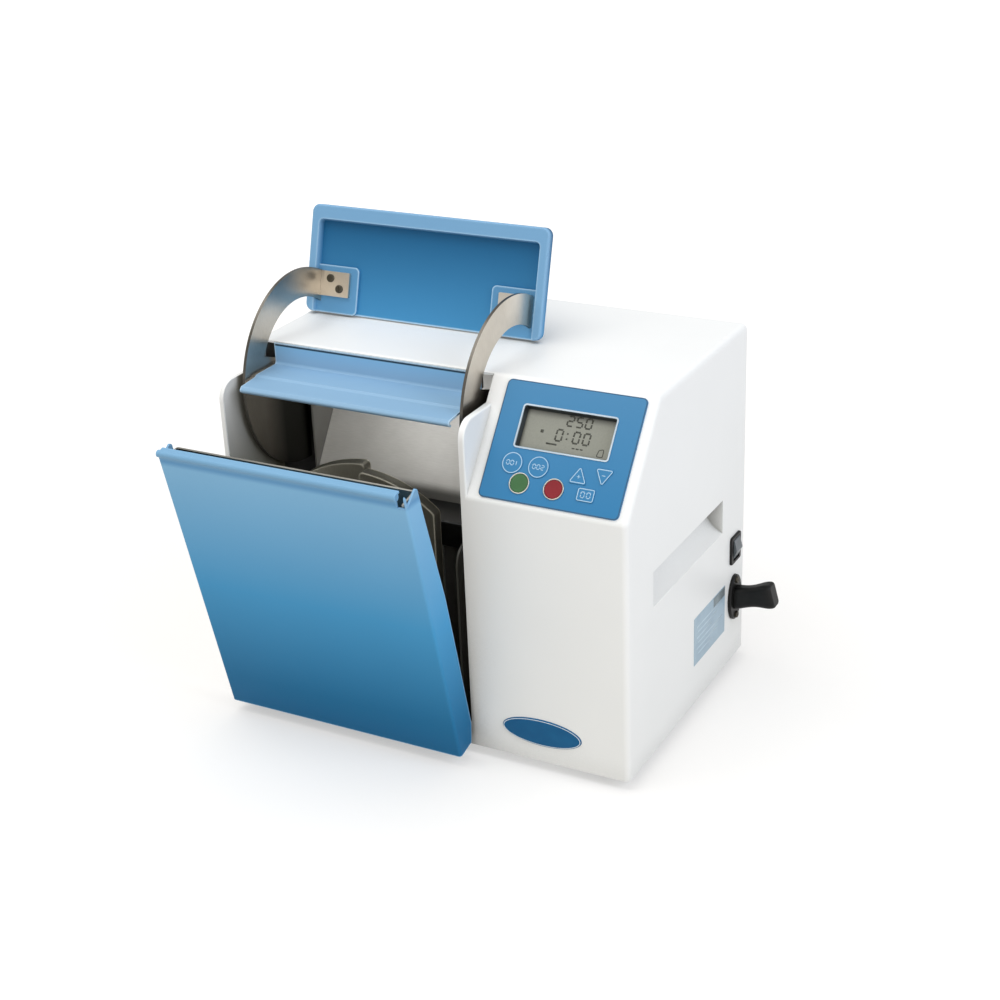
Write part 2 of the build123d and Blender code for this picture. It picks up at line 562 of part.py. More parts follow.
def inlet_socket():
    """Oval flange on the side wall, and the body behind it with the cavity for the connector."""
    flange = extrude(Pos(INLET_Y, INLET_Z) * Ellipse(INLET_W / 2, INLET_H / 2), amount=INLET_T)
    flange = fillet(flange.faces().sort_by(Axis.Z)[-1].edges(), 1.2)
    body = plate(INLET_Y - PLUG_W / 2 - 2.3, INLET_Y + PLUG_W / 2 + 2.3, INLET_Z - PLUG_H / 2 - 2.3,
                 INLET_Z + PLUG_H / 2 + 2.3, -PIN_X - 10, 0, 3)
    cavity = plate(INLET_Y - PLUG_W / 2 - RUN, INLET_Y + PLUG_W / 2 + RUN, INLET_Z - PLUG_H / 2 - RUN,
                   INLET_Z + PLUG_H / 2 + RUN, -PIN_X, INLET_T + 1, 4)
    socket = flange + body - cavity
    for side in (-1, 1):
        socket -= rod_z(INLET_Y, INLET_Z + side * INLET_SCREW, M4_R + RUN, -1, INLET_T + 1)
    for y, z in pin_places():
        socket -= block(y - PIN_W / 2, y + PIN_W / 2, z - PIN_H / 2, z + PIN_H / 2, -PIN_X - 6, -PIN_X + 1)
    return SIDE * socket


def inlet_pins():
    """The three flat pins in the inlet's cavity."""
    one = block(-PIN_W / 2, PIN_W / 2, -PIN_H / 2, PIN_H / 2, -PIN_X - 6, -2)
    return Compound([SIDE * Pos(y, z) * one for y, z in pin_places()])


def inlet_screws():
    """The two screws of the inlet's flange."""
    one = screw(M4_HEAD_R, M4_HEAD_H, INLET_T + WALL + 3)
    places = [INLET_Z + side * INLET_SCREW for side in (-1, 1)]
    return Compound([SIDE * Pos(INLET_Y, z, INLET_T) * one for z in places])


def mains_connector():
    """Plug part in the inlet, then a moulded body with a waist and a flared grip."""
    plug = plate(-PLUG_W / 2, PLUG_W / 2, -PLUG_H / 2, PLUG_H / 2, -PIN_X + GAP, INLET_T + GAP, 4)
    half_w, half_h = PIN_W / 2 + 0.15, PIN_H / 2 + 0.15
    for y, z in pin_places():
        dy, dz = y - INLET_Y, z - INLET_Z
        plug -= block(dy - half_w, dy + half_w, dz - half_h, dz + half_h, -PIN_X - 1, -1)
    # share of the body's length, width and height of each section
    stations = ((0.0, 16.0, 24.0), (0.3, 14.6, 22.0), (0.62, 15.6, 23.6),
                (0.88, 17.4, 26.4), (1.0, 16.4, 24.6))
    sections = []
    for share, wide, tall in stations:
        reach = share * CONNECTOR_L
        place = Pos(0, reach * sin(radians(CONNECTOR_TILT)), INLET_T + GAP + reach)
        turn = Rot(-CONNECTOR_TILT * min(1.0, share * 3), 0, 0)
        sections.append(place * turn * RectangleRounded(wide, tall, 5))
    grip = loft(sections)
    grip = fillet(grip.faces().sort_by(Axis.Z)[-1].edges(), 3)
    return SIDE * Pos(INLET_Y, INLET_Z, 0) * (plug + grip)


# ================================================================ lid
def turned(y, z, degrees):
    """A (Y, Z) direction turned from the Y axis towards the Z axis."""
    a = radians(degrees)
    return (y * cos(a) - z * sin(a), y * sin(a) + z * cos(a))


LID_UP = turned(-1, 0, -LID_SWING)
LID_BASE = turned(LID_REAR_Y - PIVOT_Y, CHEEK_Z + LID_REST_GAP - PIVOT_Z, -LID_SWING)
LID = Plane(origin=(0, PIVOT_Y + LID_BASE[0], PIVOT_Z + LID_BASE[1]), x_dir=(1, 0, 0),
            z_dir=(0, -LID_UP[1], LID_UP[0]))
LID_X0, LID_X1 = LID_SIDE, 2 * MID_X - LID_SIDE
ARM_X0 = CHEEK_T + 7.5


def arm_screw_places():
    """Where the arms' screws enter the lid (X, U), left arm first."""
    left = [(ARM_X0 + x, u) for x, u in ARM_SCREWS]
    return left + [(2 * MID_X - x, u) for x, u in left]


def lid_panel():
    """Shallow tray: a rim round three sides, a drafted recess and two pads for the arms."""
    lid = plate(LID_X0, LID_X1, 0, LID_L, -LID_T, 0, LID_R)
    lid = fillet(lid.faces().sort_by(Axis.Z)[-1].edges(), 2)
    lid = fillet(lid.faces().sort_by(Axis.Z)[0].edges(), 3)
    x0, x1 = LID_X0 + LID_RIM, LID_X1 - LID_RIM
    top = LID_L - LID_TOP_RIM
    mouth = Pos((x0 + x1) / 2, (top - 30) / 2) * RectangleRounded(x1 - x0, top + 30, 5)
    lid -= extrude(mouth, amount=-LID_RECESS, taper=18)
    for near, far in ((x0 - 3, x0 + PAD_X), (x1 - PAD_X, x1 + 3)):
        pad = plate(near, far, 0, PAD_U, -LID_RECESS, -PAD_DEEP, 5)
        lid += pad
    for x, u in arm_screw_places():
        lid -= rod_z(x, u, M4_R + RUN, -LID_T + 2, 0)
    return LID * lid


def arm_face():
    """Side view of an arm about the middle of its bow: bow up to the lid, web below, and hub."""
    pivot = (PIVOT_Y - ARM_RING_Y, PIVOT_Z - ARM_RING_Z)
    seat = (pivot[0] + LID_BASE[0] + LID_UP[1] * PAD_DEEP, pivot[1] + LID_BASE[1] - LID_UP[0] * PAD_DEEP)
    near = (seat[0] + 10 * LID_UP[0], seat[1] + 10 * LID_UP[1])
    far = (seat[0] + 60 * LID_UP[0], seat[1] + 60 * LID_UP[1])
    reach = 3 * ARM_R_OUT
    wedge = make_face(Polyline((0, 0), near, far, (0, reach), (-reach, reach), (-reach, 0), close=True))
    bow = (Circle(ARM_R_OUT) - Circle(ARM_R_IN)) & wedge
    web = make_face(Polyline(*ARM_WEB, close=True)) & Circle(ARM_R_OUT)
    return bow + web + Pos(*pivot) * Circle(ARM_HUB_R)


def lid_arm():
    """Left arm: flat bow, web and hub, with the flange that is screwed to the lid."""
    arm = prism_x(Pos(ARM_RING_Y, ARM_RING_Z) * arm_face(), ARM_X0, ARM_X0 + ARM_T)
    flange = plate(ARM_X0, ARM_X0 + ARM_FLANGE, ARM_FLANGE_U0, ARM_FLANGE_U1,
                   -PAD_DEEP, -PAD_DEEP + ARM_T, 1)
    arm += LID * flange
    for x, u in arm_screw_places()[:len(ARM_SCREWS)]:
        arm -= LID * rod_z(x, u, M4_R + RUN, -PAD_DEEP - 1, 0)
    return arm - rod_x(PIVOT_Y, PIVOT_Z, LID_SHAFT_R + RUN, ARM_X0 - 1, ARM_X0 + ARM_T + 1)


def lid_arm_screws():
    """The four flat-headed screws through the arms' flanges into the lid."""
    one = screw(ARM_SCREW_HEAD_R, PAD_DEEP - ARM_T, LID_T - 2 - GAP - PAD_DEEP + ARM_T)
    return Compound([LID * Pos(x, u, ARM_T - PAD_DEEP) * one for x, u in arm_screw_places()])


def lid_shaft():
    """Shaft across the chamber on which the lid and its arms turn."""
    shaft = rod_x(PIVOT_Y, PIVOT_Z, LID_SHAFT_R, WALL + GAP, CON_X - GAP)
    return chamfer(shaft.edges().filter_by(GeomType.CIRCLE), 0.8)


def lid_bearing(x0, x1):
    """Flanged bearing block on the inside of a side wall."""
    face = Pos(PIVOT_Y, PIVOT_Z) * RectangleRounded(2 * BEARING_HALF, 2 * BEARING_HALF, 5)
    return prism_x(face, x0, x1) - rod_x(PIVOT_Y, PIVOT_Z, LID_SHAFT_R + RUN, x0 - 1, x1 + 1)


def front_ledge():
    """Folded ledge in front of the top slab: upright, shelf with a step, rounded lip and hem."""
    path = [(SLOPE_Y - SHEET, TOP_Z - SHEET), (SLOPE_Y - SHEET, LEDGE_Z), (LEDGE_STEP_Y1, LEDGE_Z),
            (LEDGE_STEP_Y0, LEDGE_Z - LEDGE_STEP), (LEDGE_LIP_Y, LEDGE_Z - LEDGE_LIP_DROP),
            (LEDGE_FRONT_Y, LEDGE_Z - LEDGE_FRONT_DROP), (LEDGE_HEM_Y, LEDGE_Z - LEDGE_HEM_DROP)]
    bends = [share * SHEET for share in (1.5, 0.6, 0.6, 1.1, 1.1)]
    return folded(path, bends, SHEET, BAY_X0, BAY_X1)


# ================================================================ door
DOOR_UP = turned(0, 1, DOOR_LEAN)
DOOR_OUT = (-DOOR_UP[1], DOOR_UP[0])
DOOR_BASE_Y = DOOR_PIN_Y - DOOR_PIN_S * DOOR_UP[0] + DOOR_PIN_IN * DOOR_OUT[0]
DOOR_BASE_Z = DOOR_PIN_Z - DOOR_PIN_S * DOOR_UP[1] + DOOR_PIN_IN * DOOR_OUT[1]
DOOR = Plane(origin=(0, DOOR_BASE_Y, DOOR_BASE_Z), x_dir=(1, 0, 0),
             z_dir=(0, DOOR_OUT[0], DOOR_OUT[1]))
DOOR_X0, DOOR_X1 = DOOR_SIDE, 2 * MID_X - DOOR_SIDE
LUG_X = DOOR_X0 + LUG_INSET
BRACKET_X = LUG_X + LUG_T + 4.0


def door_flange():
    """Side flange of the door, deepest below the middle and cut back at the top."""
    points = [(-1, 1), (DOOR_L - DOOR_NOTCH_S, 1), (DOOR_L - 2, -DOOR_RETURN + 1),
              (DOOR_L - 29, -DOOR_RETURN), (DOOR_L * 0.57, -DOOR_FLANGE), (DOOR_L * 0.41, -DOOR_FLANGE),
              (DOOR_L * 0.065, -DOOR_FLANGE + 0.7), (0, -DOOR_RETURN), (-1, -DOOR_RETURN)]
    return outline(points, ((2, 3), (6, 4)))


def door_panel():
    """Folded steel door: face, side flanges, top lip, bottom return and two hinge lugs."""
    door = block(DOOR_X0, DOOR_X1, 0, DOOR_L, -DOOR_FLANGE, 0)
    door = fillet(edges_where(door, lambda c: c.Z > -0.01 and c.Y > DOOR_L - 0.01), 4)
    door = fillet(edges_where(door, lambda c: c.Z > -0.01 and 10 < c.Y < DOOR_L - 10), 3)
    below = -DOOR_FLANGE - 1
    door -= block(DOOR_X0 + DOOR_T, DOOR_X1 - DOOR_T, DOOR_T, DOOR_L - DOOR_T, below, -DOOR_T)
    waste = Pos(DOOR_L / 2, -DOOR_FLANGE) * Rectangle(DOOR_L + 4, 2 * (DOOR_FLANGE - DOOR_T)) - door_flange()
    door -= prism_x(waste, DOOR_X0 - 1, DOOR_X0 + DOOR_T)
    door -= prism_x(waste, DOOR_X1 - DOOR_T, DOOR_X1 + 1)
    # the lip is shallower than the flanges, has a rolled bead, and ends short of the right flange
    notch_x = DOOR_X1 - DOOR_NOTCH_X
    door -= block(DOOR_X0 - 1, DOOR_X1 + 1, DOOR_L - DOOR_T, DOOR_L + 1, below, -DOOR_LIP)
    door += rod_x(DOOR_L - DOOR_BEAD_R, DOOR_BEAD_OUT - DOOR_BEAD_R, DOOR_BEAD_R, DOOR_X0, notch_x)
    door -= block(notch_x, DOOR_X1 - DOOR_T, DOOR_L - DOOR_NOTCH_S, DOOR_L + 1, below, 1)
    door -= block(DOOR_X0 - 1, DOOR_X1 + 1, -1, DOOR_T, below, -DOOR_RETURN)
    for x0 in (LUG_X, 2 * MID_X - LUG_X - LUG_T):
        lug = outline([(DOOR_PIN_S - 7, -1), (DOOR_PIN_S + 7, -1), (DOOR_PIN_S + 7, -DOOR_PIN_IN),
                       (DOOR_PIN_S - 7, -DOOR_PIN_IN)])
        lug += Pos(DOOR_PIN_S, -DOOR_PIN_IN) * Circle(7)
        door += prism_x(lug, x0, x0 + LUG_T)
    bore = rod_x(DOOR_PIN_S, -DOOR_PIN_IN, DOOR_PIN_R + RUN, DOOR_X0 + 5, DOOR_X1 - 5)
    return DOOR * (door - bore)


def door_backing():
    """Stainless tray behind the door face, which the bag is pressed against."""
    x0, x1 = DOOR_X0 + 2 * DOOR_T, DOOR_X1 - 2 * DOOR_T
    tray = block(x0, x1, TRAY_S0, TRAY_S1, -TRAY_IN - DOOR_T, -TRAY_IN)
    for near in (x0, x1 - DOOR_T):
        tray += block(near, near + DOOR_T, TRAY_S0, TRAY_S1, -TRAY_IN, -DOOR_T)
    back = -TRAY_IN - DOOR_T + 0.01
    tray = fillet(edges_where(tray, lambda c: c.Z < back and TRAY_S0 + 5 < c.Y < TRAY_S1 - 5), 3)
    return DOOR * tray


def door_pin():
    """Pin along the door's lower edge, through its lugs and brackets."""
    pin = rod_x(DOOR_PIN_Y, DOOR_PIN_Z, DOOR_PIN_R, LUG_X - 2, 2 * MID_X - LUG_X + 2)
    return chamfer(pin.edges().filter_by(GeomType.CIRCLE), 0.6)


def door_bracket():
    """Bracket on the front sill that holds the hinge pin."""
    low, high = DOOR_PIN_Z - EYE_R, DOOR_PIN_Z + EYE_R
    eye = outline([(DOOR_PIN_Y, low), (0, low), (0, high), (DOOR_PIN_Y, high)])
    eye += Pos(DOOR_PIN_Y, DOOR_PIN_Z) * Circle(EYE_R)
    arm = prism_x(eye, BRACKET_X, BRACKET_X + BRACKET_T)
    arm += block(BRACKET_X, BRACKET_X + 16, -SHEET, 0, low, high)
    return arm - rod_x(DOOR_PIN_Y, DOOR_PIN_Z, DOOR_PIN_R + RUN, BRACKET_X - 1, BRACKET_X + BRACKET_T + 1)


# ================================================================ chamber
def chamber_liner():
    """Stainless liner: rear wall that bends back into a chute, floor, and walls each side."""
    y = LINER_Y + SHEET
    path = [(CHUTE_Y, TOP_Z - WALL), (CHUTE_Y, CHUTE_Z), (LINER_Y, LINER_BEND_Z), (LINER_Y, LINER_FLOOR_Z),
            (LINER_FRONT, LINER_FLOOR_Z)]
    liner = folded(path, (6, 10, 3), SHEET, BAY_X0, BAY_X1)
    lower = outline([(LINER_FRONT, LINER_FLOOR_Z - SHEET), (y, LINER_FLOOR_Z - SHEET), (y, LINER_BEND_Z),
                     (LINER_FRONT, LINER_BEND_Z)], ((3, 20),))
    chute = CHUTE_Y + SHEET
    upper = outline([(UPPER_FRONT, LINER_BEND_Z - 10), (y, LINER_BEND_Z - 10), (y, LINER_BEND_Z),
                     (chute, CHUTE_Z), (chute, CHUTE_Z + 5), (UPPER_FRONT, CHUTE_Z + 5)])
    for x0 in (BAY_X0, BAY_X1 - SHEET):
        liner += prism_x(lower, x0, x0 + SHEET)
        liner += prism_x(upper, x0, x0 + SHEET)
    for x0 in (BAY_X0 + 16, BAY_X1 - 36):
        liner += block(x0, x0 + 20, LINER_FRONT + 8, LINER_Y - 8, BASE_Z, LINER_FLOOR_Z - SHEET)
    for side in (-1, 1):
        liner -= rod_y(MID_X + side * ROD_X, AXIS_Z, BUSH_R + RUN, LINER_Y - 1, y + 1)
    return liner


def guide_block():
    """Black guide block on the liner's rear wall, with the bush that carries a push rod (left)."""
    x = MID_X - GUIDE_SPREAD
    face = Plane.XZ.offset(-LINER_Y) * (Pos(x, AXIS_Z) * RectangleRounded(GUIDE_W, GUIDE_H, 5))
    body = extrude(face, amount=GUIDE_D)
    body = fillet(body.faces().sort_by(Axis.Y)[0].edges(), 2)
    rod_at = MID_X - ROD_X
    body += rod_y(rod_at, AXIS_Z, BUSH_R, LINER_Y - GUIDE_D - 2, LINER_Y + BUSH_OUT)
    return body - rod_y(rod_at, AXIS_Z, ROD_R + RUN, LINER_Y - GUIDE_D - 3, LINER_Y + BUSH_OUT + 1)


def guide_bracket():
    """Stainless leg under a guide block, folded at its foot (left)."""
    x = MID_X - GUIDE_LEG_X
    top = AXIS_Z - GUIDE_H / 2
    front, bend = LINER_Y - GUIDE_LEG_D, 4.0
    side = outline([(front, LINER_FLOOR_Z), (LINER_Y - bend, LINER_FLOOR_Z), (LINER_Y, LINER_FLOOR_Z + bend),
                    (LINER_Y, top), (front, top)])
    leg = prism_x(side, x - SHEET / 2, x + SHEET / 2)
    return leg + block(x - 18, x, front, LINER_Y - bend, LINER_FLOOR_Z, LINER_FLOOR_Z + SHEET)


# ================================================================ paddles and their drive
def paddle_face():
    """Right paddle seen from the front, about the chamber's middle: arched top, round corner."""
    x0, x1 = PADDLE_GAP / 2, PADDLE_GAP / 2 + PADDLE_W
    face = make_face(Polyline((x0, PADDLE_Z0), (x1, PADDLE_Z0), (x1, TOP_Z), (x0, TOP_Z), close=True))
    face &= Pos(0, PADDLE_ARCH_Z) * Circle(PADDLE_ARCH_R)
    face = fillet(face.vertices().sort_by_distance((x1, PADDLE_Z0))[0], 30)
    crown = PADDLE_ARCH_Z + PADDLE_ARCH_R
    shoulder = PADDLE_ARCH_Z + PADDLE_ARCH_R * 0.75
    for corner in ((x0, PADDLE_Z0), (x0, crown), (x1, shoulder)):
        face = fillet(face.vertices().sort_by_distance(corner)[0], 5)
    return face


def paddle(y):
    """Right paddle: pressed plate with its edge turned back, and a boss for the push rod."""
    def back(face, y0, y1):
        return extrude(Plane.XZ.offset(-y0) * (Pos(MID_X, 0) * face), amount=-(y1 - y0))

    face = paddle_face()
    body = back(face, y, y + PADDLE_EDGE)
    body = fillet(body.faces().sort_by(Axis.Y)[0].edges(), 1.6)
    body -= back(offset(face, amount=-SHEET), y + SHEET, y + PADDLE_EDGE + 1)
    body += rod_y(MID_X + ROD_X, AXIS_Z, ROD_R + 4, y + SHEET, y + PADDLE_EDGE + 2)
    return body - rod_y(MID_X + ROD_X, AXIS_Z, ROD_R + RUN, y + SHEET, y + PADDLE_EDGE + 3)


def push_rod(y, crank_pin_y):
    """Right push rod with the slotted yoke in which the crank pin works."""
    x0 = MID_X + CRANK_SPAN + CRANK_T
    front = crank_pin_y - YOKE_FRONT
    middle_y = crank_pin_y + (YOKE_BACK - YOKE_FRONT) / 2
    rod = rod_y(MID_X + ROD_X, AXIS_Z, ROD_R, y + SHEET, front)
    rod += block(x0, x0 + YOKE_T + 4, front, front + 12, AXIS_Z - 10, AXIS_Z + 10)
    face = Pos(middle_y, AXIS_Z) * RectangleRounded(YOKE_FRONT + YOKE_BACK, 2 * YOKE_Z, 6)
    rod += extrude(Plane.YZ.offset(x0) * face, amount=YOKE_T)
    slot = Plane.YZ.offset(x0 - 1) * (Pos(crank_pin_y, AXIS_Z) * Rot(0, 0, 90) * SlotOverall(
        STROKE + 2 * PIN_R + 2, 2 * PIN_R + 2 * GAP))
    return rod - extrude(slot, amount=YOKE_T + 2)


def crankshaft():
    """Crankshaft: two discs half a turn apart, each with its pin, on one shaft."""
    throw = STROKE / 2
    shaft = rod_x(CRANK_Y, AXIS_Z, CRANK_SHAFT_R, MID_X - CRANK_SPAN, MID_X + CRANK_SPAN)
    for side in (-1, 1):
        ends = sorted((MID_X + side * (CRANK_SPAN - CRANK_T), MID_X + side * CRANK_SPAN))
        shaft += rod_x(CRANK_Y, AXIS_Z, CRANK_R, *ends)
        tip = MID_X + side * (CRANK_SPAN + CRANK_T - PIN_GAP)
        reach = sorted((MID_X + side * (CRANK_SPAN - 1), tip))
        shaft += rod_x(CRANK_Y - side * throw, AXIS_Z, PIN_R, *reach)
    return shaft


def pedestal():
    """Cast pedestal with a round head for the crank bearing and a broad foot (left)."""
    x0 = MID_X - PEDESTAL_X - PEDESTAL_T / 2
    head = RACE_R + 6
    post = outline([(CRANK_Y - 26, BASE_Z), (CRANK_Y + 26, BASE_Z), (CRANK_Y + 26, BASE_Z + 8),
                    (CRANK_Y + head * 0.7, BASE_Z + 30), (CRANK_Y + head, AXIS_Z), (CRANK_Y - head, AXIS_Z),
                    (CRANK_Y - head * 0.7, BASE_Z + 30), (CRANK_Y - 26, BASE_Z + 8)], ((3, 12), (6, 12)))
    post += Pos(CRANK_Y, AXIS_Z) * Circle(head)
    post -= Pos(CRANK_Y, AXIS_Z) * Circle(RACE_R + RUN)
    return prism_x(post, x0, x0 + PEDESTAL_T)


def crank_bearing():
    """Ball bearing seen as its two races with the sealed space between them set back (left)."""
    x0 = MID_X - PEDESTAL_X - PEDESTAL_T / 2 + 1
    x1 = x0 + PEDESTAL_T - 2
    race = rod_x(CRANK_Y, AXIS_Z, RACE_R, x0, x1)
    seal = Circle(RACE_R - 3) - Circle(CRANK_SHAFT_R + 2.5)
    for near, far in ((x0, x0 + 1), (x1 - 1, x1)):
        race -= prism_x(Pos(CRANK_Y, AXIS_Z) * seal, near, far)
    return race - rod_x(CRANK_Y, AXIS_Z, CRANK_SHAFT_R + RUN, x0 - 1, x1 + 1)


def pulley(y, z, groove_r, bore_r):
    """Flat-belt pulley with two flanges; a large one has round lightening holes."""
    x0, x1 = MID_X - PULLEY_T / 2, MID_X + PULLEY_T / 2
    rim = PULLEY_RIM - PULLEY_R
    wheel = rod_x(y, z, groove_r + rim, x0, x1)
    wheel -= rod_x(y, z, groove_r + rim + 1, x0 + 1, x1 - 1) - rod_x(y, z, groove_r, x0, x1)
    if groove_r > 30:
        for turn in range(5):
            angle = radians(72 * turn + 18)
            wheel -= rod_x(y + 25 * cos(angle), z + 25 * sin(angle), 7, x0 - 1, x1 + 1)
    return wheel - rod_x(y, z, bore_r, x0 - 1, x1 + 1) if bore_r else wheel


def belt_loop(grow):
    """Outline of the belt round both pulleys, grown from their grooves."""
    big, small = PULLEY_R + grow, MOTOR_PULLEY_R + grow
    along = atan2(MOTOR_Z - AXIS_Z, MOTOR_Y - CRANK_Y)
    open_angle = acos((big - small) / hypot(MOTOR_Z - AXIS_Z, MOTOR_Y - CRANK_Y))

    def at(y, z, radius, angle):
        return (y + radius * cos(angle), z + radius * sin(angle))

    a = at(CRANK_Y, AXIS_Z, big, along + open_angle)
    b = at(CRANK_Y, AXIS_Z, big, along - open_angle)
    c = at(MOTOR_Y, MOTOR_Z, small, along - open_angle)
    d = at(MOTOR_Y, MOTOR_Z, small, along + open_angle)
    far_big = at(CRANK_Y, AXIS_Z, big, along + pi)
    far_small = at(MOTOR_Y, MOTOR_Z, small, along)
    return make_face([ThreePointArc(a, far_big, b), Line(b, c), ThreePointArc(c, far_small, d), Line(d, a)])


def drive_belt():
    half = PULLEY_T / 2 - 1 - GAP
    return prism_x(belt_loop(GAP + BELT_T) - belt_loop(GAP), MID_X - half, MID_X + half)


def motor():
    """Motor: finned round body, end caps and a terminal box."""
    can = rod_x(MOTOR_Y, MOTOR_Z, MOTOR_R, MOTOR_FACE, MOTOR_FACE + MOTOR_L)
    can = fillet(can.edges().filter_by(GeomType.CIRCLE), 4)
    for ring in range(int((MOTOR_L - MOTOR_FIN_X - 18) / MOTOR_FIN_PITCH)):
        x = MOTOR_FACE + MOTOR_FIN_X + ring * MOTOR_FIN_PITCH
        groove = rod_x(MOTOR_Y, MOTOR_Z, MOTOR_R + 1, x, x + MOTOR_FIN_PITCH / 2)
        can -= groove - rod_x(MOTOR_Y, MOTOR_Z, MOTOR_R - 3, x - 1, x + MOTOR_FIN_PITCH)
    can += block(MOTOR_FACE + MOTOR_BOX_X, MOTOR_FACE + MOTOR_L - 26, MOTOR_Y - 22, MOTOR_Y + 18,
                 MOTOR_Z + MOTOR_R - 10, MOTOR_Z + MOTOR_R + 12)
    return can - rod_x(MOTOR_Y, MOTOR_Z, MOTOR_SHAFT_R + RUN, MOTOR_FACE - 1, MOTOR_FACE + 12)


def motor_rotor():
    """Motor shaft with its pulley."""
    shaft = rod_x(MOTOR_Y, MOTOR_Z, MOTOR_SHAFT_R, MID_X - PULLEY_T / 2 - 2, MOTOR_FACE + 11)
    return shaft + pulley(MOTOR_Y, MOTOR_Z, MOTOR_PULLEY_R, 0)


def motor_bracket():
    """Upright plate that the motor's face is bolted to, with its folded foot."""
    x0 = MOTOR_FACE - WALL
    front, back, top = MOTOR_Y - MOTOR_R, MOTOR_Y + MOTOR_R, MOTOR_Z + 40
    face = outline([(front, BASE_Z), (back, BASE_Z), (back, top), (front, top)], ((2, 12), (3, 12)))
    face -= Pos(MOTOR_Y, MOTOR_Z) * Circle(MOTOR_SHAFT_R + 6)
    bracket = prism_x(face, x0, MOTOR_FACE)
    return bracket + block(x0, MOTOR_FACE + 40, front, back, BASE_Z, BASE_Z + WALL)


def power_supply_board():
    """Power supply on four spacers in the console: board, transformer, coil and capacitors."""
    x0, x1 = SUPPLY_X, SUPPLY_X + SUPPLY_W
    y0, y1 = SUPPLY_Y, SUPPLY_Y + SUPPLY_D
    low = BASE_Z + SUPPLY_UP
    board = block(x0, x1, y0, y1, low, low + BOARD_T)
    for x in (x0 + SUPPLY_EDGE, x1 - SUPPLY_EDGE):
        for y in (y0 + SUPPLY_EDGE, y1 - SUPPLY_EDGE):
            board += rod_z(x, y, 3, BASE_Z, low)
    top = low + BOARD_T
    board += block(x0 + 12, x0 + 60, y1 - 60, y1 - 15, top, top + 38)
    board += block(x0 + 70, x0 + 98, y1 - 50, y1 - 15, top, top + 24)
    for row in range(3):
        board += rod_z(x0 + 25 + CAPACITOR_PITCH * row, y0 + 40, CAPACITOR_R, top, top + CAPACITOR_H)
    return board


# ================================================================ all pieces
pieces = {
    "housing": housing(),
    "base_plate": base_plate(),
    "rear_cover": rear_cover(),
    "rear_cover_screws": rear_cover_screws(),
    "foot_screws": foot_screws(),
    "keypad_panel": keypad_panel(),
    "display_frame": display_frame(),
    "display_glass": display_glass(),
    "control_board": control_board(),
    "badge_plate": badge_plate(),
    "rating_plate": rating_plate(),
    "switch_bezel": switch_bezel(),
    "switch_rocker": switch_rocker(),
    "inlet_socket": inlet_socket(),
    "inlet_pins": inlet_pins(),
    "inlet_screws": inlet_screws(),
    "mains_connector": mains_connector(),
    "lid_panel": lid_panel(),
    "lid_arm_left": lid_arm(),
    "lid_arm_right": mirrored(lid_arm()),
    "lid_arm_screws": lid_arm_screws(),
    "lid_shaft": lid_shaft(),
    "lid_bearing_left": lid_bearing(WALL, WALL + BEARING_L_T),
    "lid_bearing_right": lid_bearing(CON_X - BEARING_R_T, CON_X),
    "front_ledge": front_ledge(),
    "door_panel": door_panel(),
    "door_backing": door_backing(),
    "door_pin": door_pin(),
    "door_bracket_left": door_bracket(),
    "door_bracket_right": mirrored(door_bracket()),
    "chamber_liner": chamber_liner(),
    "guide_block_left": guide_block(),
    "guide_block_right": mirrored(guide_block()),
    "guide_bracket_left": guide_bracket(),
    "guide_bracket_right": mirrored(guide_bracket()),
    "paddle_right": paddle(PADDLE_Y),
    "paddle_left": mirrored(paddle(PADDLE_Y + STROKE)),
    "push_rod_right": push_rod(PADDLE_Y, CRANK_Y - STROKE / 2),
    "push_rod_left": mirrored(push_rod(PADDLE_Y + STROKE, CRANK_Y + STROKE / 2)),
    "crankshaft": crankshaft(),
    "crank_bearings": Compound([crank_bearing(), mirrored(crank_bearing())]),
    "pedestal_left": pedestal(),
    "pedestal_right": mirrored(pedestal()),
    "driven_pulley": pulley(CRANK_Y, AXIS_Z, PULLEY_R, CRANK_SHAFT_R + RUN),
    "drive_belt": drive_belt(),
    "motor": motor(),
    "motor_rotor": motor_rotor(),
    "motor_bracket": motor_bracket(),
    "power_supply_board": power_supply_board(),
}
for place, (foot_x, foot_y) in zip(("front_left", "front_right", "rear_left", "rear_right"), foot_places()):
    pieces[f"foot_{place}"] = foot(foot_x, foot_y)
for key_name in KEY_NAMES:
    pieces[key_name] = key(key_name)

# The origin is the middle of the whole part on the bench, with the lid and the door open.
middle = Compound(list(pieces.values())).bounding_box().center()
os.makedirs("parts", exist_ok=True)
for name, piece in pieces.items():
    export_step(Pos(-middle.X, -middle.Y, 0) * piece, f"parts/{name}.step")
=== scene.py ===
import bpy
import numpy as np
from math import atan2, cos, pi, radians, sin
from mathutils import Matrix, Vector


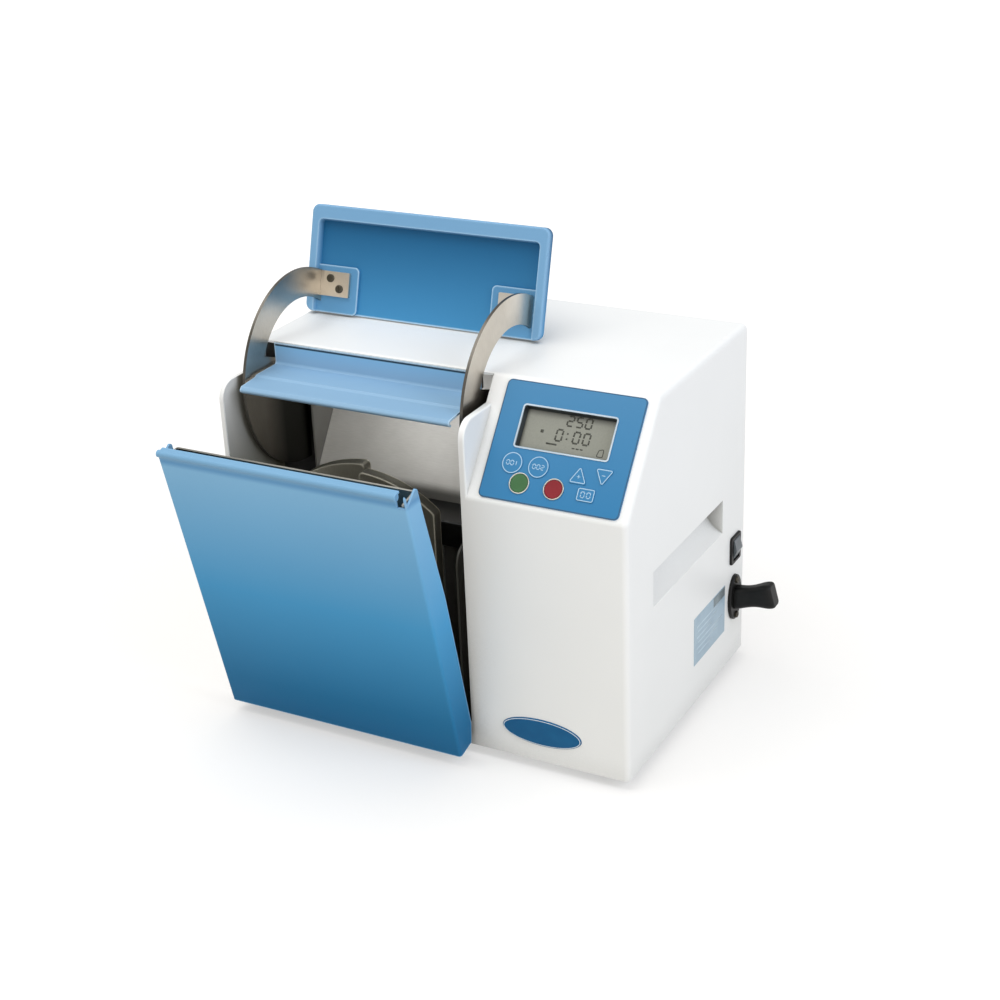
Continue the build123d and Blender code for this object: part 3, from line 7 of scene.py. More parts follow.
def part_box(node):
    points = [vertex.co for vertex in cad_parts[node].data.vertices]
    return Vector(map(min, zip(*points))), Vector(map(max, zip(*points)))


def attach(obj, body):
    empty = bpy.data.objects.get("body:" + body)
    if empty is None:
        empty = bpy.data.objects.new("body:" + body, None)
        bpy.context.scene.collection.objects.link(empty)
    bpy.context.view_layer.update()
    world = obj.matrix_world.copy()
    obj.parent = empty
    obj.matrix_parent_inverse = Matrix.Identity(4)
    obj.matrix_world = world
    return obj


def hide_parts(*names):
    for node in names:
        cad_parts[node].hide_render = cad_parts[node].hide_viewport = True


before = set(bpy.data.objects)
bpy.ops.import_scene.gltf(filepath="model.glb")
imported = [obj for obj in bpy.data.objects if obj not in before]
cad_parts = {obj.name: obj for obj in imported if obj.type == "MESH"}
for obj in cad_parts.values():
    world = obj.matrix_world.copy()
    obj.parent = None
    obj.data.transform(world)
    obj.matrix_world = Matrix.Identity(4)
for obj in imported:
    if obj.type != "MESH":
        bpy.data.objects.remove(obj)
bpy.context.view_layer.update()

# ------------------------------------------------------------------ photographer's camera
# A tripod camera with a 65 mm lens looks at the front right corner from above, held a little
# off level. It stands where the edges of the housing in the picture put it, measured in mm from
# the housing's lower front left corner.
housing_corner = np.array(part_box("housing")[0])
MM = 0.001


def corner(x, y, z):
    """A point in metres, from mm right, back and up of the housing's lower front left corner."""
    return Vector(housing_corner + np.array([x, y, z]) * MM)


camera_az, camera_el, camera_roll = radians(28.742), radians(24.187), radians(-2.343)
camera_data = bpy.data.cameras.new("tripod_camera")
sensor_wide, lens_to_sensor = 36.0, 1.80862
camera_data.sensor_width = sensor_wide
camera_data.lens = sensor_wide * lens_to_sensor
camera_data.clip_end = 50.0
camera = bpy.data.objects.new("tripod_camera", camera_data)
bpy.context.scene.collection.objects.link(camera)
away = Vector((sin(camera_az) * cos(camera_el), -cos(camera_az) * cos(camera_el), sin(camera_el)))
level = Vector((cos(camera_az), sin(camera_az), 0.0))
upright = away.cross(level)
camera_x = level * cos(camera_roll) + upright * sin(camera_roll)
camera_y = upright * cos(camera_roll) - level * sin(camera_roll)
camera_place = Matrix((camera_x, camera_y, away)).transposed().to_4x4()
camera_place.translation = corner(1019.62, -1303.10, 934.42)
camera.matrix_world = camera_place
bpy.context.scene.camera = camera

# ------------------------------------------------------------------ bench, sweep and soft lamps
# A white sweep of paper under the machine. Broad soft lamps overhead to the left, in front and to
# the right light it with the pale room, and a small one under the top slab reaches the chamber.
# The paper is lifted to white for the eye and for reflections only, so the lamps stay gentle.


def linear(hex_colour):
    """An sRGB hex colour as linear red, green, blue and alpha."""
    parts = np.array([int(hex_colour[i:i + 2], 16) for i in (1, 3, 5)]) / 255.0
    low = parts / 12.92
    high = ((parts + 0.055) / 1.055) ** 2.4
    return (*np.where(parts <= 0.04045, low, high), 1.0)


def add_node(tree, kind, settings=None, **inputs):
    """Adds one node with its settings; each input is a value or the socket that feeds it."""
    made = tree.nodes.new(kind)
    for name, value in (settings or {}).items():
        setattr(made, name, value)
    for name, value in inputs.items():
        socket = made.inputs[int(name[1:])] if name[0] == "_" else made.inputs[name.replace("_", " ")]
        if isinstance(value, bpy.types.NodeSocket):
            tree.links.new(value, socket)
        else:
            socket.default_value = value
    return made


def new_material(name):
    """An empty node material: its tree and its output node."""
    material = bpy.data.materials.new(name)
    material.use_nodes = True
    material.node_tree.nodes.clear()
    output = material.node_tree.nodes.new("ShaderNodeOutputMaterial")
    return material, material.node_tree, output


world = bpy.data.worlds.new("pale_room")
bpy.context.scene.world = world
world.use_nodes = True
world.node_tree.nodes.clear()
room = world.node_tree
rays = add_node(room, "ShaderNodeLightPath")
seen = add_node(room, "ShaderNodeMath", {"operation": "MAXIMUM"}, _0=rays.outputs["Is Camera Ray"],
                _1=rays.outputs["Is Transmission Ray"])
dim = add_node(room, "ShaderNodeBackground", Color=linear("#F6F6F5"), Strength=0.68)
bright = add_node(room, "ShaderNodeBackground", Color=linear("#FFFFFF"), Strength=1.0)
blend = add_node(room, "ShaderNodeMixShader", _0=seen.outputs[0], _1=dim.outputs[0], _2=bright.outputs[0])
add_node(room, "ShaderNodeOutputWorld", _0=blend.outputs[0])

bench_mesh = bpy.data.meshes.new("bench_paper")
reach = 6.0
bench_mesh.from_pydata([(-reach, -reach, 0), (reach, -reach, 0), (reach, reach, 0), (-reach, reach, 0)],
                       [], [(0, 1, 2, 3)])
bench = bpy.data.objects.new("bench_paper", bench_mesh)
bpy.context.scene.collection.objects.link(bench)
# Uncoated paper is matt: it takes a soft shadow and shows no highlight. The lift grows away from
# the machine, so the shadow stays and the sweep's far end doesn't show.
paper, tree, output = new_material("white_paper_sweep")
rays = add_node(tree, "ShaderNodeLightPath")
seen = add_node(tree, "ShaderNodeMath", {"operation": "MAXIMUM"}, _0=rays.outputs["Is Camera Ray"],
                _1=rays.outputs["Is Glossy Ray"])
seen = add_node(tree, "ShaderNodeMath", {"operation": "MAXIMUM"}, _0=seen.outputs[0],
                _1=rays.outputs["Is Transmission Ray"])
spot = add_node(tree, "ShaderNodeTexCoord").outputs["Object"]
span = add_node(tree, "ShaderNodeVectorMath", {"operation": "LENGTH"}, _0=spot)
paper_lift = add_node(tree, "ShaderNodeMapRange", Value=span.outputs["Value"], From_Min=0.4, From_Max=2.2,
                      To_Min=0.41, To_Max=0.75)
lift = add_node(tree, "ShaderNodeMath", {"operation": "MULTIPLY"}, _0=seen.outputs[0],
                _1=paper_lift.outputs["Result"])
body = add_node(tree, "ShaderNodeBsdfDiffuse", Color=linear("#CBC9C6"))
glow = add_node(tree, "ShaderNodeEmission", Color=linear("#FFFFFF"), Strength=lift.outputs[0])
total = add_node(tree, "ShaderNodeAddShader", _0=body.outputs[0], _1=glow.outputs[0])
tree.links.new(total.outputs[0], output.inputs[0])
bench_mesh.materials.append(paper)


def soft_lamp(name, spot, aim, size, watts, tint):
    """A square soft lamp of a size in metres at one point, turned to face another."""
    data = bpy.data.lights.new(name, "AREA")
    data.shape = "SQUARE"
    data.size = size
    data.energy = watts
    data.color = linear(tint)[:3]
    lamp = bpy.data.objects.new(name, data)
    lamp.location = spot
    lamp.rotation_euler = (Vector(aim) - Vector(spot)).to_track_quat("-Z", "Y").to_euler()
    bpy.context.scene.collection.objects.link(lamp)


machine_middle = (0, 0, 0.2)
soft_lamp("overhead_softbox", (-0.7, -0.3, 2.2), machine_middle, 1.8, 20.5, "#FFFFFF")
soft_lamp("front_softbox", (0.5, -2.2, 1.2), machine_middle, 1.6, 11.5, "#FFF9EE")
soft_lamp("side_softbox", (2.1, -0.3, 1.5), machine_middle, 1.4, 21.5, "#E8F0FF")
soft_lamp("chute_lamp", corner(135, 100, 325), corner(135, 175, 255), 0.07, 0.07, "#FFFFFF")
bpy.context.scene.view_settings.view_transform = "Standard"

# ------------------------------------------------------------------ housing
# Casing of folded steel sheet, powder coated white, with cheeks beside the chamber, a sloped
# control face and a finger grip. The rear cover closes it, in the same coat.


def give(material, *names):
    """Puts a material on CAD nodes."""
    for name in names:
        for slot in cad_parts[name].material_slots:
            slot.material = material


def edge_factor(tree, wide_mm):
    """How near a point lies to an outer edge of its piece: rays sent into the piece leave it
    sooner there; 1 on the edge and 0 further off than the given width."""
    inward = add_node(tree, "ShaderNodeAmbientOcclusion", {"inside": True, "only_local": True, "samples": 8},
                      Distance=wide_mm * MM)
    return add_node(tree, "ShaderNodeMapRange", Value=inward.outputs["AO"], From_Min=0.95,
                    From_Max=0.55).outputs["Result"]


def mixed(tree, share, first, second):
    """A colour between two: first times one minus the share, plus second times the share."""
    return add_node(tree, "ShaderNodeMix", {"data_type": "RGBA"}, _0=share, _6=first, _7=second).outputs[2]


# Width in mm of the painted highlight on coated edges.
coat_highlight_mm = 1.6


def powder_coat(name, stops, rough, peel_mm=0.9, across=None, specular=0.5, edge=None, recess=None, shade_veils=()):
    """Powder coat: satin, with an orange peel of the given width in mm. Its colour runs through
    the stops (share, hex) between two places along an axis, varied by up to 3 % in clouds about
    110 mm wide. The coat can be paler on its edges, a painted highlight, darker in recesses (hex,
    width in mm), painted shade where the light doesn't reach, and darkened in places by painted
    shade (function of tree and place, hex)."""
    material, tree, output = new_material(name)
    place = add_node(tree, "ShaderNodeTexCoord").outputs["Object"]
    axis, start, end = across or ("Z", 0.0, 1.0)
    parts = add_node(tree, "ShaderNodeSeparateXYZ", Vector=place)
    run = add_node(tree, "ShaderNodeMapRange", Value=parts.outputs[axis], From_Min=start, From_Max=end)
    ramp = add_node(tree, "ShaderNodeValToRGB", Fac=run.outputs["Result"])
    for element, (share, hex_colour) in zip(ramp.color_ramp.elements, (stops[0], stops[-1])):
        element.position = share
        element.color = linear(hex_colour)
    for share, hex_colour in stops[1:-1]:
        ramp.color_ramp.elements.new(share).color = linear(hex_colour)
    cloud = add_node(tree, "ShaderNodeTexNoise", Vector=place, Scale=9.0, Detail=2.0)
    vary = add_node(tree, "ShaderNodeMapRange", Value=cloud.outputs["Fac"], To_Min=0.97, To_Max=1.03)
    colour = add_node(tree, "ShaderNodeVectorMath", {"operation": "SCALE"}, _0=ramp.outputs["Color"],
                      Scale=vary.outputs["Result"]).outputs[0]
    if edge:
        colour = mixed(tree, edge_factor(tree, coat_highlight_mm), colour, linear(edge))
    if recess:
        recess_hex, wide_mm = recess
        open_sky = add_node(tree, "ShaderNodeAmbientOcclusion", {"samples": 8}, Distance=wide_mm * MM)
        deep = add_node(tree, "ShaderNodeMapRange", Value=open_sky.outputs["AO"], From_Min=0.62,
                        From_Max=0.15)
        colour = mixed(tree, deep.outputs["Result"], colour, linear(recess_hex))
    for share_of, hex_colour in shade_veils:
        colour = mixed(tree, share_of(tree, place), colour, linear(hex_colour))
    skin = add_node(tree, "ShaderNodeTexNoise", Vector=place, Scale=1000.0 / peel_mm, Detail=1.0)
    bump = add_node(tree, "ShaderNodeBump", Strength=0.06, Distance=0.0002, Height=skin.outputs["Fac"])
    coat = add_node(tree, "ShaderNodeBsdfPrincipled", Base_Color=colour, Roughness=rough,
                    Normal=bump.outputs["Normal"])
    coat.inputs["Specular IOR Level"].default_value = specular
    tree.links.new(coat.outputs[0], output.inputs[0])
    return material


def inside_box(tree, place, low, high):
    """1 inside the box between two corners, 0 outside: inside it, the least of the distances to
    its six faces is positive."""
    above = add_node(tree, "ShaderNodeVectorMath", {"operation": "SUBTRACT"}, _0=place, _1=tuple(low))
    below = add_node(tree, "ShaderNodeVectorMath", {"operation": "SUBTRACT"}, _0=tuple(high), _1=place)
    nearest = add_node(tree, "ShaderNodeVectorMath", {"operation": "MINIMUM"}, _0=above.outputs[0],
                       _1=below.outputs[0])
    sides = add_node(tree, "ShaderNodeSeparateXYZ", Vector=nearest.outputs[0])
    least = add_node(tree, "ShaderNodeMath", {"operation": "MINIMUM"}, _0=sides.outputs["X"],
                     _1=sides.outputs["Y"])
    least = add_node(tree, "ShaderNodeMath", {"operation": "MINIMUM"}, _0=least.outputs[0],
                     _1=sides.outputs["Z"])
    return add_node(tree, "ShaderNodeMath", {"operation": "GREATER_THAN"}, _0=least.outputs[0],
                    _1=0.0).outputs[0]


def inside_casing(tree, place):
    """The casing's inside behind the arms. Its darkness is drawn in the coat, because the soft
    lamps reach further in than the photographer's did."""
    return inside_box(tree, place, corner(2.5, 76, -5), corner(264.5, 287, 356.5))


def beside_arm(tree, place):
    """The left cheek's inner face, where the arm's web stands before it: a shade drawn in the
    coat, that grows downwards."""
    face = inside_box(tree, place, corner(5.5, 1.5, 20), corner(9, 100, 334))
    up = add_node(tree, "ShaderNodeSeparateXYZ", Vector=place)
    low = add_node(tree, "ShaderNodeMapRange", Value=up.outputs["Z"], From_Min=corner(0, 0, 325).z,
                   From_Max=corner(0, 0, 225).z, To_Min=0.15, To_Max=0.9)
    return add_node(tree, "ShaderNodeMath", {"operation": "MULTIPLY"}, _0=face,
                    _1=low.outputs["Result"]).outputs[0]


# White powder coat reads as satin, a little warmer below, with soft highlights. Its hollows are
# greyed with painted shade, and the casing's inside and the left cheek beside the arm are
# darkened with painted shade.
white_coat = powder_coat("white_powder_coat", ((0, "#F0F0ED"), (1, "#F1F3F5")), 0.42, recess=("#7C7972", 70),
                         shade_veils=((inside_casing, "#2A2A27"), (beside_arm, "#706E5E")))
give(white_coat, "housing", "rear_cover")

# ------------------------------------------------------------------ base plate, feet and screws
# Zinc-plated steel plate screwed under the casing, on four moulded rubber feet with a screw
# through each. Small turned screws hold the rear cover.
# Width in mm of the painted highlight on metal edges.
metal_highlight_mm = 1.8


def metal_sheet(name, hexes, rough, grain_mm, stretch, metallic=1.0, shade_veil=None, edge=None):
    """Rolled or brushed metal: fine lines of the given spacing, coarser than the real grit so that
    they show, drawn out along one axis by the stretch. Its colour runs between two hexes with the
    lines and with clouds about 70 mm wide. Its edges can be paler, a painted highlight, and painted
    shade (function of tree and place, hex) darkens part of it."""
    material, tree, output = new_material(name)
    place = add_node(tree, "ShaderNodeTexCoord").outputs["Object"]
    drawn = add_node(tree, "ShaderNodeMapping", Vector=place,
                     Scale=tuple(1000.0 / (grain_mm * times) for times in stretch))
    lines = add_node(tree, "ShaderNodeTexNoise", Vector=drawn.outputs["Vector"], Scale=1.0, Detail=3.0)
    cloud = add_node(tree, "ShaderNodeTexNoise", Vector=place, Scale=14.0, Detail=3.0)
    tone = add_node(tree, "ShaderNodeMath", {"operation": "MULTIPLY_ADD"}, _0=lines.outputs["Fac"], _1=0.45,
                    _2=cloud.outputs["Fac"])
    ramp = add_node(tree, "ShaderNodeValToRGB", Fac=tone.outputs[0])
    for element, share, hex_colour in zip(ramp.color_ramp.elements, (0.35, 1.0), hexes):
        element.position = share
        element.color = linear(hex_colour)
    colour = ramp.outputs["Color"]
    if edge:
        colour = mixed(tree, edge_factor(tree, metal_highlight_mm), colour, linear(edge))
    if shade_veil:
        share_of, shade_hex = shade_veil
        colour = mixed(tree, share_of(tree, place), colour, linear(shade_hex))
    gloss = add_node(tree, "ShaderNodeMapRange", Value=lines.outputs["Fac"], To_Min=rough - 0.06,
                     To_Max=rough + 0.10)
    bump = add_node(tree, "ShaderNodeBump", Strength=0.08, Distance=0.0001, Height=lines.outputs["Fac"])
    metal = add_node(tree, "ShaderNodeBsdfPrincipled", Base_Color=colour, Metallic=metallic,
                     Roughness=gloss.outputs[0], Normal=bump.outputs["Normal"])
    tree.links.new(metal.outputs[0], output.inputs[0])
    return material


# Zinc plate reads as a cool grey with soft cloudy gloss and no grain.
zinc = metal_sheet("zinc_plated_sheet", ("#8D9194", "#C3C7CA"), 0.42, 0.8, (1, 1, 1))
give(zinc, "base_plate")


def moulded_plastic(name, hexes, rough, grain_mm=0.5, relief=0.08, specular=0.5):
    """Moulded plastic or rubber: a fine spark-eroded grain of the given width, coarser than the
    real one so that it shows. Its colour runs between two hexes in clouds about 17 mm wide."""
    material, tree, output = new_material(name)
    place = add_node(tree, "ShaderNodeTexCoord").outputs["Object"]
    cloud = add_node(tree, "ShaderNodeTexNoise", Vector=place, Scale=60.0, Detail=3.0)
    ramp = add_node(tree, "ShaderNodeValToRGB", Fac=cloud.outputs["Fac"])
    for element, share, hex_colour in zip(ramp.color_ramp.elements, (0.3, 0.7), hexes):
        element.position = share
        element.color = linear(hex_colour)
    grain = add_node(tree, "ShaderNodeTexNoise", Vector=place, Scale=1000.0 / grain_mm, Detail=1.0)
    bump = add_node(tree, "ShaderNodeBump", Strength=relief, Distance=0.0002, Height=grain.outputs["Fac"])
    plastic = add_node(tree, "ShaderNodeBsdfPrincipled", Base_Color=ramp.outputs["Color"], Roughness=rough,
                       Normal=bump.outputs["Normal"])
    plastic.inputs["Specular IOR Level"].default_value = specular
    tree.links.new(plastic.outputs[0], output.inputs[0])
    return material


# Rubber is black and dull, with a rough skin and hardly any highlight.
black_rubber = moulded_plastic("black_rubber", ("#141414", "#1E1E1E"), 0.75, 0.6, 0.15)
give(black_rubber, "foot_front_left", "foot_front_right", "foot_rear_left", "foot_rear_right")
# Turned steel is bright, with fine rings from the tool across the turned length.
bright_steel = metal_sheet("turned_bright_steel", ("#A9A9A6", "#D8D8D4"), 0.26, 0.3, (8, 1, 1))
give(bright_steel, "foot_screws", "rear_cover_screws")

# ------------------------------------------------------------------ control face
# A blue printed film over a metal plate is glued on the slope. Its keys are embossed, with pale
# lines printed round them; the film's edge is cut through a dark backing.
slope_foot, slope_rise, slope_run = 263.0, 95.0, 74.0
slope_turn = atan2(slope_rise, slope_run)
film_top = 1.5


def on_slope(x, s, h):
    """Points in metres from mm across, up the slope and out of it, as whole arrays."""
    x, s, h = np.broadcast_arrays(np.asarray(x, float), np.asarray(s, float), np.asarray(h, float))
    back = s * cos(slope_turn) - h * sin(slope_turn)
    up = slope_foot + s * sin(slope_turn) + h * cos(slope_turn)
    return housing_corner + np.stack([x, back, up], axis=-1) * MM


def round_corners(points, radius, steps=6):
    """A closed outline whose corners are arcs: each arc's centre lies on the corner's bisector."""
    points = np.asarray(points, float)
    before = points - np.roll(points, 1, axis=0)
    after = np.roll(points, -1, axis=0) - points
    before /= np.linalg.norm(before, axis=1, keepdims=True)
    after /= np.linalg.norm(after, axis=1, keepdims=True)
    turn = np.arctan2(before[:, 0] * after[:, 1] - before[:, 1] * after[:, 0], (before * after).sum(1))
    setback = radius * np.tan(np.abs(turn) / 2)[:, None]
    normal = np.stack([-before[:, 1], before[:, 0]], 1) * np.sign(turn)[:, None]
    centre = points - before * setback + normal * radius
    angle = turn[:, None] * np.linspace(0, 1, steps)[None, :]
    spoke = -normal
    arc = np.stack([spoke[:, None, 0] * np.cos(angle) - spoke[:, None, 1] * np.sin(angle),
                    spoke[:, None, 0] * np.sin(angle) + spoke[:, None, 1] * np.cos(angle)], -1)
    return (centre[:, None, :] + radius * arc).reshape(-1, 2)


def ring_points(x, s, radius, steps=48):
    """A circle as a closed outline."""
    angle = np.linspace(0, 2 * pi, steps, endpoint=False)
    return np.stack([x + radius * np.cos(angle), s + radius * np.sin(angle)], 1)


def printed_line(path, wide, high, closed=True):
    """A low bead of a flattened dome section carried along an outline in the plane: its points
    as (across, along, out) and its four-sided faces. Each section is set square to the path's
    direction there, which is the difference of the points before and after."""
    path = np.asarray(path, float)
    count = len(path)
    if closed:
        ahead = np.roll(path, -1, 0) - np.roll(path, 1, 0)
    else:
        ahead = np.gradient(path, axis=0)
    ahead /= np.linalg.norm(ahead, axis=1, keepdims=True)
    side = np.stack([-ahead[:, 1], ahead[:, 0]], 1)
    section = np.array([(-0.5, 0), (0.5, 0), (0.42, 0.75), (0.15, 1), (-0.15, 1), (-0.42, 0.75)])
    flat = path[:, None, :] + side[:, None, :] * section[None, :, :1] * wide
    out = np.broadcast_to(section[None, :, 1:] * high, (count, len(section), 1))
    points = np.concatenate([flat, out], -1).reshape(-1, 3)
    k = len(section)
    rows = np.arange(count if closed else count - 1)
    i, j = np.meshgrid(rows, np.arange(k), indexing="ij")
    nxt = (i + 1) % count
    faces = np.stack([nxt * k + j, nxt * k + (j + 1) % k, i * k + (j + 1) % k, i * k + j], -1).reshape(-1, 4)
    if not closed:
        cap = np.array([(0, 1, 2, 3), (0, 3, 4, 5)])
        faces = np.concatenate([faces, cap, (count - 1) * k + cap[:, ::-1]])
    return points, faces


def joined(shapes):
    """Several (points, faces) shapes as one."""
    starts = np.cumsum([0] + [len(points) for points, faces in shapes])
    faces = [faces + start for (points, faces), start in zip(shapes, starts)]
    return np.concatenate([points for points, _ in shapes]), np.concatenate(faces)


def piece(name, points, faces, material, body):
    """A new piece that rides on a body, with its place in its mesh."""
    mesh = bpy.data.meshes.new(name)
    mesh.from_pydata(points.tolist(), [], faces.tolist())
    mesh.polygons.foreach_set("use_smooth", np.ones(len(mesh.polygons), bool))
    mesh.materials.append(material)
    mesh.validate()
    mesh.update()
    made = bpy.data.objects.new(name, mesh)
    bpy.context.scene.collection.objects.link(made)
    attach(made, body)
    return made


def slope_piece(name, shape, lift, material, body):
    """A shape drawn in the slope's plane and lifted off the bare slope by some mm."""
    points, faces = shape
    places = on_slope(points[:, 0], points[:, 1], points[:, 2] + lift)
    return piece(name, places, faces, material, body)


# Polyester film printed on its back: satin blue, with painted light that makes it paler towards
# the top of the slope.
film_blue = powder_coat("blue_keypad_film", ((0, "#2D79AA"), (1, "#4683AE")), 0.42, 0.35,
                        ("Z", corner(0, 0, 260).z, corner(0, 0, 360).z), 0.25)
give(film_blue, "keypad_panel", "key_program", "key_speed", "key_up", "key_down", "key_set")
# The dark backing that shows at the film's cut edge draws a thin blue-black line round it.
film_edge = moulded_plastic("dark_film_edge", ("#24506F", "#2C5A7B"), 0.5, 0.4, 0.03)
panel_x0, panel_x1, panel_s0, panel_s1 = 281.0, 420.5, 3.5, 117.0
edge_inset, edge_round, edge_wide, edge_high = 0.6, 4.4, 1.0, 0.1
bite = 0.02
edge_points = [(panel_x0 + edge_inset, panel_s0 + edge_inset), (panel_x1 - edge_inset, panel_s0 + edge_inset),
               (panel_x1 - edge_inset, panel_s1 - edge_inset), (panel_x0 + edge_inset, panel_s1 - edge_inset)]
edge_line = printed_line(round_corners(edge_points, edge_round), edge_wide, edge_high)
slope_piece("panel_edge_line", edge_line, film_top - bite, film_edge, "frame")

# ------------------------------------------------------------------ keys
# Seven keys: five embossed in the film with pale printed outlines and signs, and two of moulded
# plastic, green to start and red to stop, each in a pressed aluminium ring.
key_top = film_top + 0.8
line_wide, line_high, bar_high = 0.9, 0.12, 0.08
round_keys = (("key_program", "001", 306.9, 39.0), ("key_speed", "002", 333.3, 38.9))
key_radius, sign_w, sign_h = 9.4, 2.8, 4.2

# Screen ink is pale and matt on the satin film.
pale_ink = moulded_plastic("pale_screen_ink", ("#9CC0DA", "#AECCE2"), 0.5, 0.3, 0.04)
# The moulded keys are of coloured plastic: dull, with a weak broad highlight.
green_key = moulded_plastic("green_key_plastic", ("#386439", "#416E44"), 0.4, 0.5, 0.05, 0.3)
red_key = moulded_plastic("red_key_plastic", ("#7E161E", "#8A1E28"), 0.4, 0.5, 0.05, 0.3)
give(green_key, "key_start")
give(red_key, "key_stop")


def figure_bars(sign, x, s, wide, high, thick, lean=0.0):
    """A figure drawn as straight bars, as on a segment display, from its lower left corner: a is
    the top bar, b and c stand right, d is the foot, e and f stand left, g lies and h stands in
    the middle. Gaps of a third of a bar part them, and lean slides the top across."""
    bars = {"0": "abcdef", "1": "h", "2": "abged", "5": "afgcd"}[sign]
    gap = thick * 0.35
    half = high / 2
    ends = {"a": ((gap, high), (wide - gap, high)), "b": ((wide, high - gap), (wide, half + gap)),
            "c": ((wide, half - gap), (wide, gap)), "d": ((gap, 0), (wide - gap, 0)),
            "e": ((0, half - gap), (0, gap)), "f": ((0, high - gap), (0, half + gap)),
            "g": ((gap, half), (wide - gap, half)), "h": ((wide / 2, gap), (wide / 2, high - gap))}
    made = []
    for bar in bars:
        path = np.array(ends[bar])
        path = np.stack([x + path[:, 0] + lean * path[:, 1], s + path[:, 1]], 1)
        made.append(printed_line(path, thick, bar_high, closed=False))
    return made


for name, signs, x, s in round_keys:
    shapes = [printed_line(ring_points(x, s, key_radius), line_wide, line_high)]
    for i, sign in enumerate(signs):
        left = x - sign_w / 2 + sign_h * (i - 1)
        shapes += figure_bars(sign, left, s - sign_h / 2, sign_w, sign_h, line_wide)
    slope_piece(name + "_print", joined(shapes), key_top - bite, pale_ink, name)

arrow_half, arrow_high, arrow_round = 7.8, 14.0, 1.0
mark_half, mark_wide, mark_drop = 1.7, 0.8, 1.6
for name, x, s, point in (("key_up", 374.0, 38.0, 1), ("key_down", 397.3, 39.3, -1)):
    half = arrow_high / 2 * point
    outline = [(x - arrow_half, s - half), (x + arrow_half, s - half), (x, s + half)]
    if point < 0:
        outline = outline[::-1]
    mark_s = s - mark_drop * point
    marks = [[(x - mark_half, mark_s), (x + mark_half, mark_s)]]
    if point > 0:
        marks.append([(x, mark_s - mark_half), (x, mark_s + mark_half)])
    shapes = [printed_line(round_corners(outline, arrow_round), line_wide, line_high)]
    shapes += [printed_line(mark, mark_wide, bar_high, closed=False) for mark in marks]
    slope_piece(name + "_print", joined(shapes), key_top - bite, pale_ink, name)

set_x, set_s, set_w, set_h, set_round = 385.0, 21.0, 15.4, 10.8, 1.4
figure_w, figure_h, figure_gap = 3.4, 5.2, 2.4
corners = [(set_x - set_w / 2, set_s - set_h / 2), (set_x + set_w / 2, set_s - set_h / 2),
           (set_x + set_w / 2, set_s + set_h / 2), (set_x - set_w / 2, set_s + set_h / 2)]
shapes = [printed_line(round_corners(corners, set_round), line_wide, line_high)]
for left in (set_x - figure_gap / 2 - figure_w, set_x + figure_gap / 2):
    shapes += figure_bars("0", left, set_s - figure_h / 2, figure_w, figure_h, line_wide)
slope_piece("key_set_print", joined(shapes), key_top - bite, pale_ink, "key_set")

# Pressed aluminium is warm and bright, and its rounded section draws a thin glint round the keys.
ring_metal = metal_sheet("pressed_aluminium", ("#B4B1A8", "#DAD7CE"), 0.3, 0.4, (1, 1, 1))
ring_radius, ring_wide, ring_high = 9.45, 1.3, 1.1
for name, x, s in (("start_key_ring", 318.7, 21.4), ("stop_key_ring", 353.1, 21.3)):
    ring = printed_line(ring_points(x, s, ring_radius, 64), ring_wide, ring_high)
    slope_piece(name, ring, film_top - bite, ring_metal, "frame")

# ------------------------------------------------------------------ display
# A liquid crystal display sunk behind a thin bright bezel that is set in the film's opening.
# Its glass is grey green and shows two rows of dark figures, and painted shade along its top
# and left stands for the shadow of the bezel's walls.


def inside_bezel(tree, place):
    """Painted shade on the bezel's walls below the film: the share runs from 0 just above the film's
    face to 0.85 four tenths of a millimetre below it."""
    offset = add_node(tree, "ShaderNodeVectorMath", {"operation": "SUBTRACT"}, _0=place,
                      _1=tuple(on_slope(0, 0, film_top)))
    out = add_node(tree, "ShaderNodeVectorMath", {"operation": "DOT_PRODUCT"}, _0=offset.outputs[0],
                   _1=(0.0, -sin(slope_turn), cos(slope_turn)))
    return add_node(tree, "ShaderNodeMapRange", Value=out.outputs["Value"], From_Min=0.1 * MM,
                    From_Max=-0.4 * MM, To_Max=0.85).outputs["Result"]


# Silvered metal: a cool bright line round the glass, with painted shade on its walls inside.
bezel_metal = metal_sheet("display_bezel_silver", ("#A3B2BE", "#C4D0D9"), 0.4, 0.5, (1, 1, 1), 1.0,
                          (inside_bezel, "#20211E"))
give(bezel_metal, "display_frame")

# Display glass: grey green and half glossy, faintly mottled, shaded along its top and left.
glass_grey, tree, output = new_material("display_glass_grey")
spot = add_node(tree, "ShaderNodeTexCoord").outputs["Object"]
glass_low, glass_high = np.array(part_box("display_glass"))
shade_down, shade_across = 9 * MM, 4 * MM
from_top = add_node(tree, "ShaderNodeVectorMath", {"operation": "SUBTRACT"}, _0=tuple(glass_high), _1=spot)
fall = add_node(tree, "ShaderNodeVectorMath", {"operation": "DOT_PRODUCT"}, _0=from_top.outputs[0],
                _1=(0.0, cos(slope_turn), sin(slope_turn)))
top_shade = add_node(tree, "ShaderNodeMapRange", {"interpolation_type": "SMOOTHSTEP"},
                     Value=fall.outputs["Value"], From_Max=shade_down, To_Min=0.25)
from_left = add_node(tree, "ShaderNodeVectorMath", {"operation": "SUBTRACT"}, _0=spot, _1=tuple(glass_low))
across = add_node(tree, "ShaderNodeSeparateXYZ", Vector=from_left.outputs[0])
left_shade = add_node(tree, "ShaderNodeMapRange", {"interpolation_type": "SMOOTHSTEP"},
                      Value=across.outputs["X"], From_Max=shade_across, To_Min=0.5)
shade = add_node(tree, "ShaderNodeMath", {"operation": "MULTIPLY"}, _0=top_shade.outputs["Result"],
                 _1=left_shade.outputs["Result"])
cells = add_node(tree, "ShaderNodeTexNoise", Vector=spot, Scale=600.0, Detail=2.0)
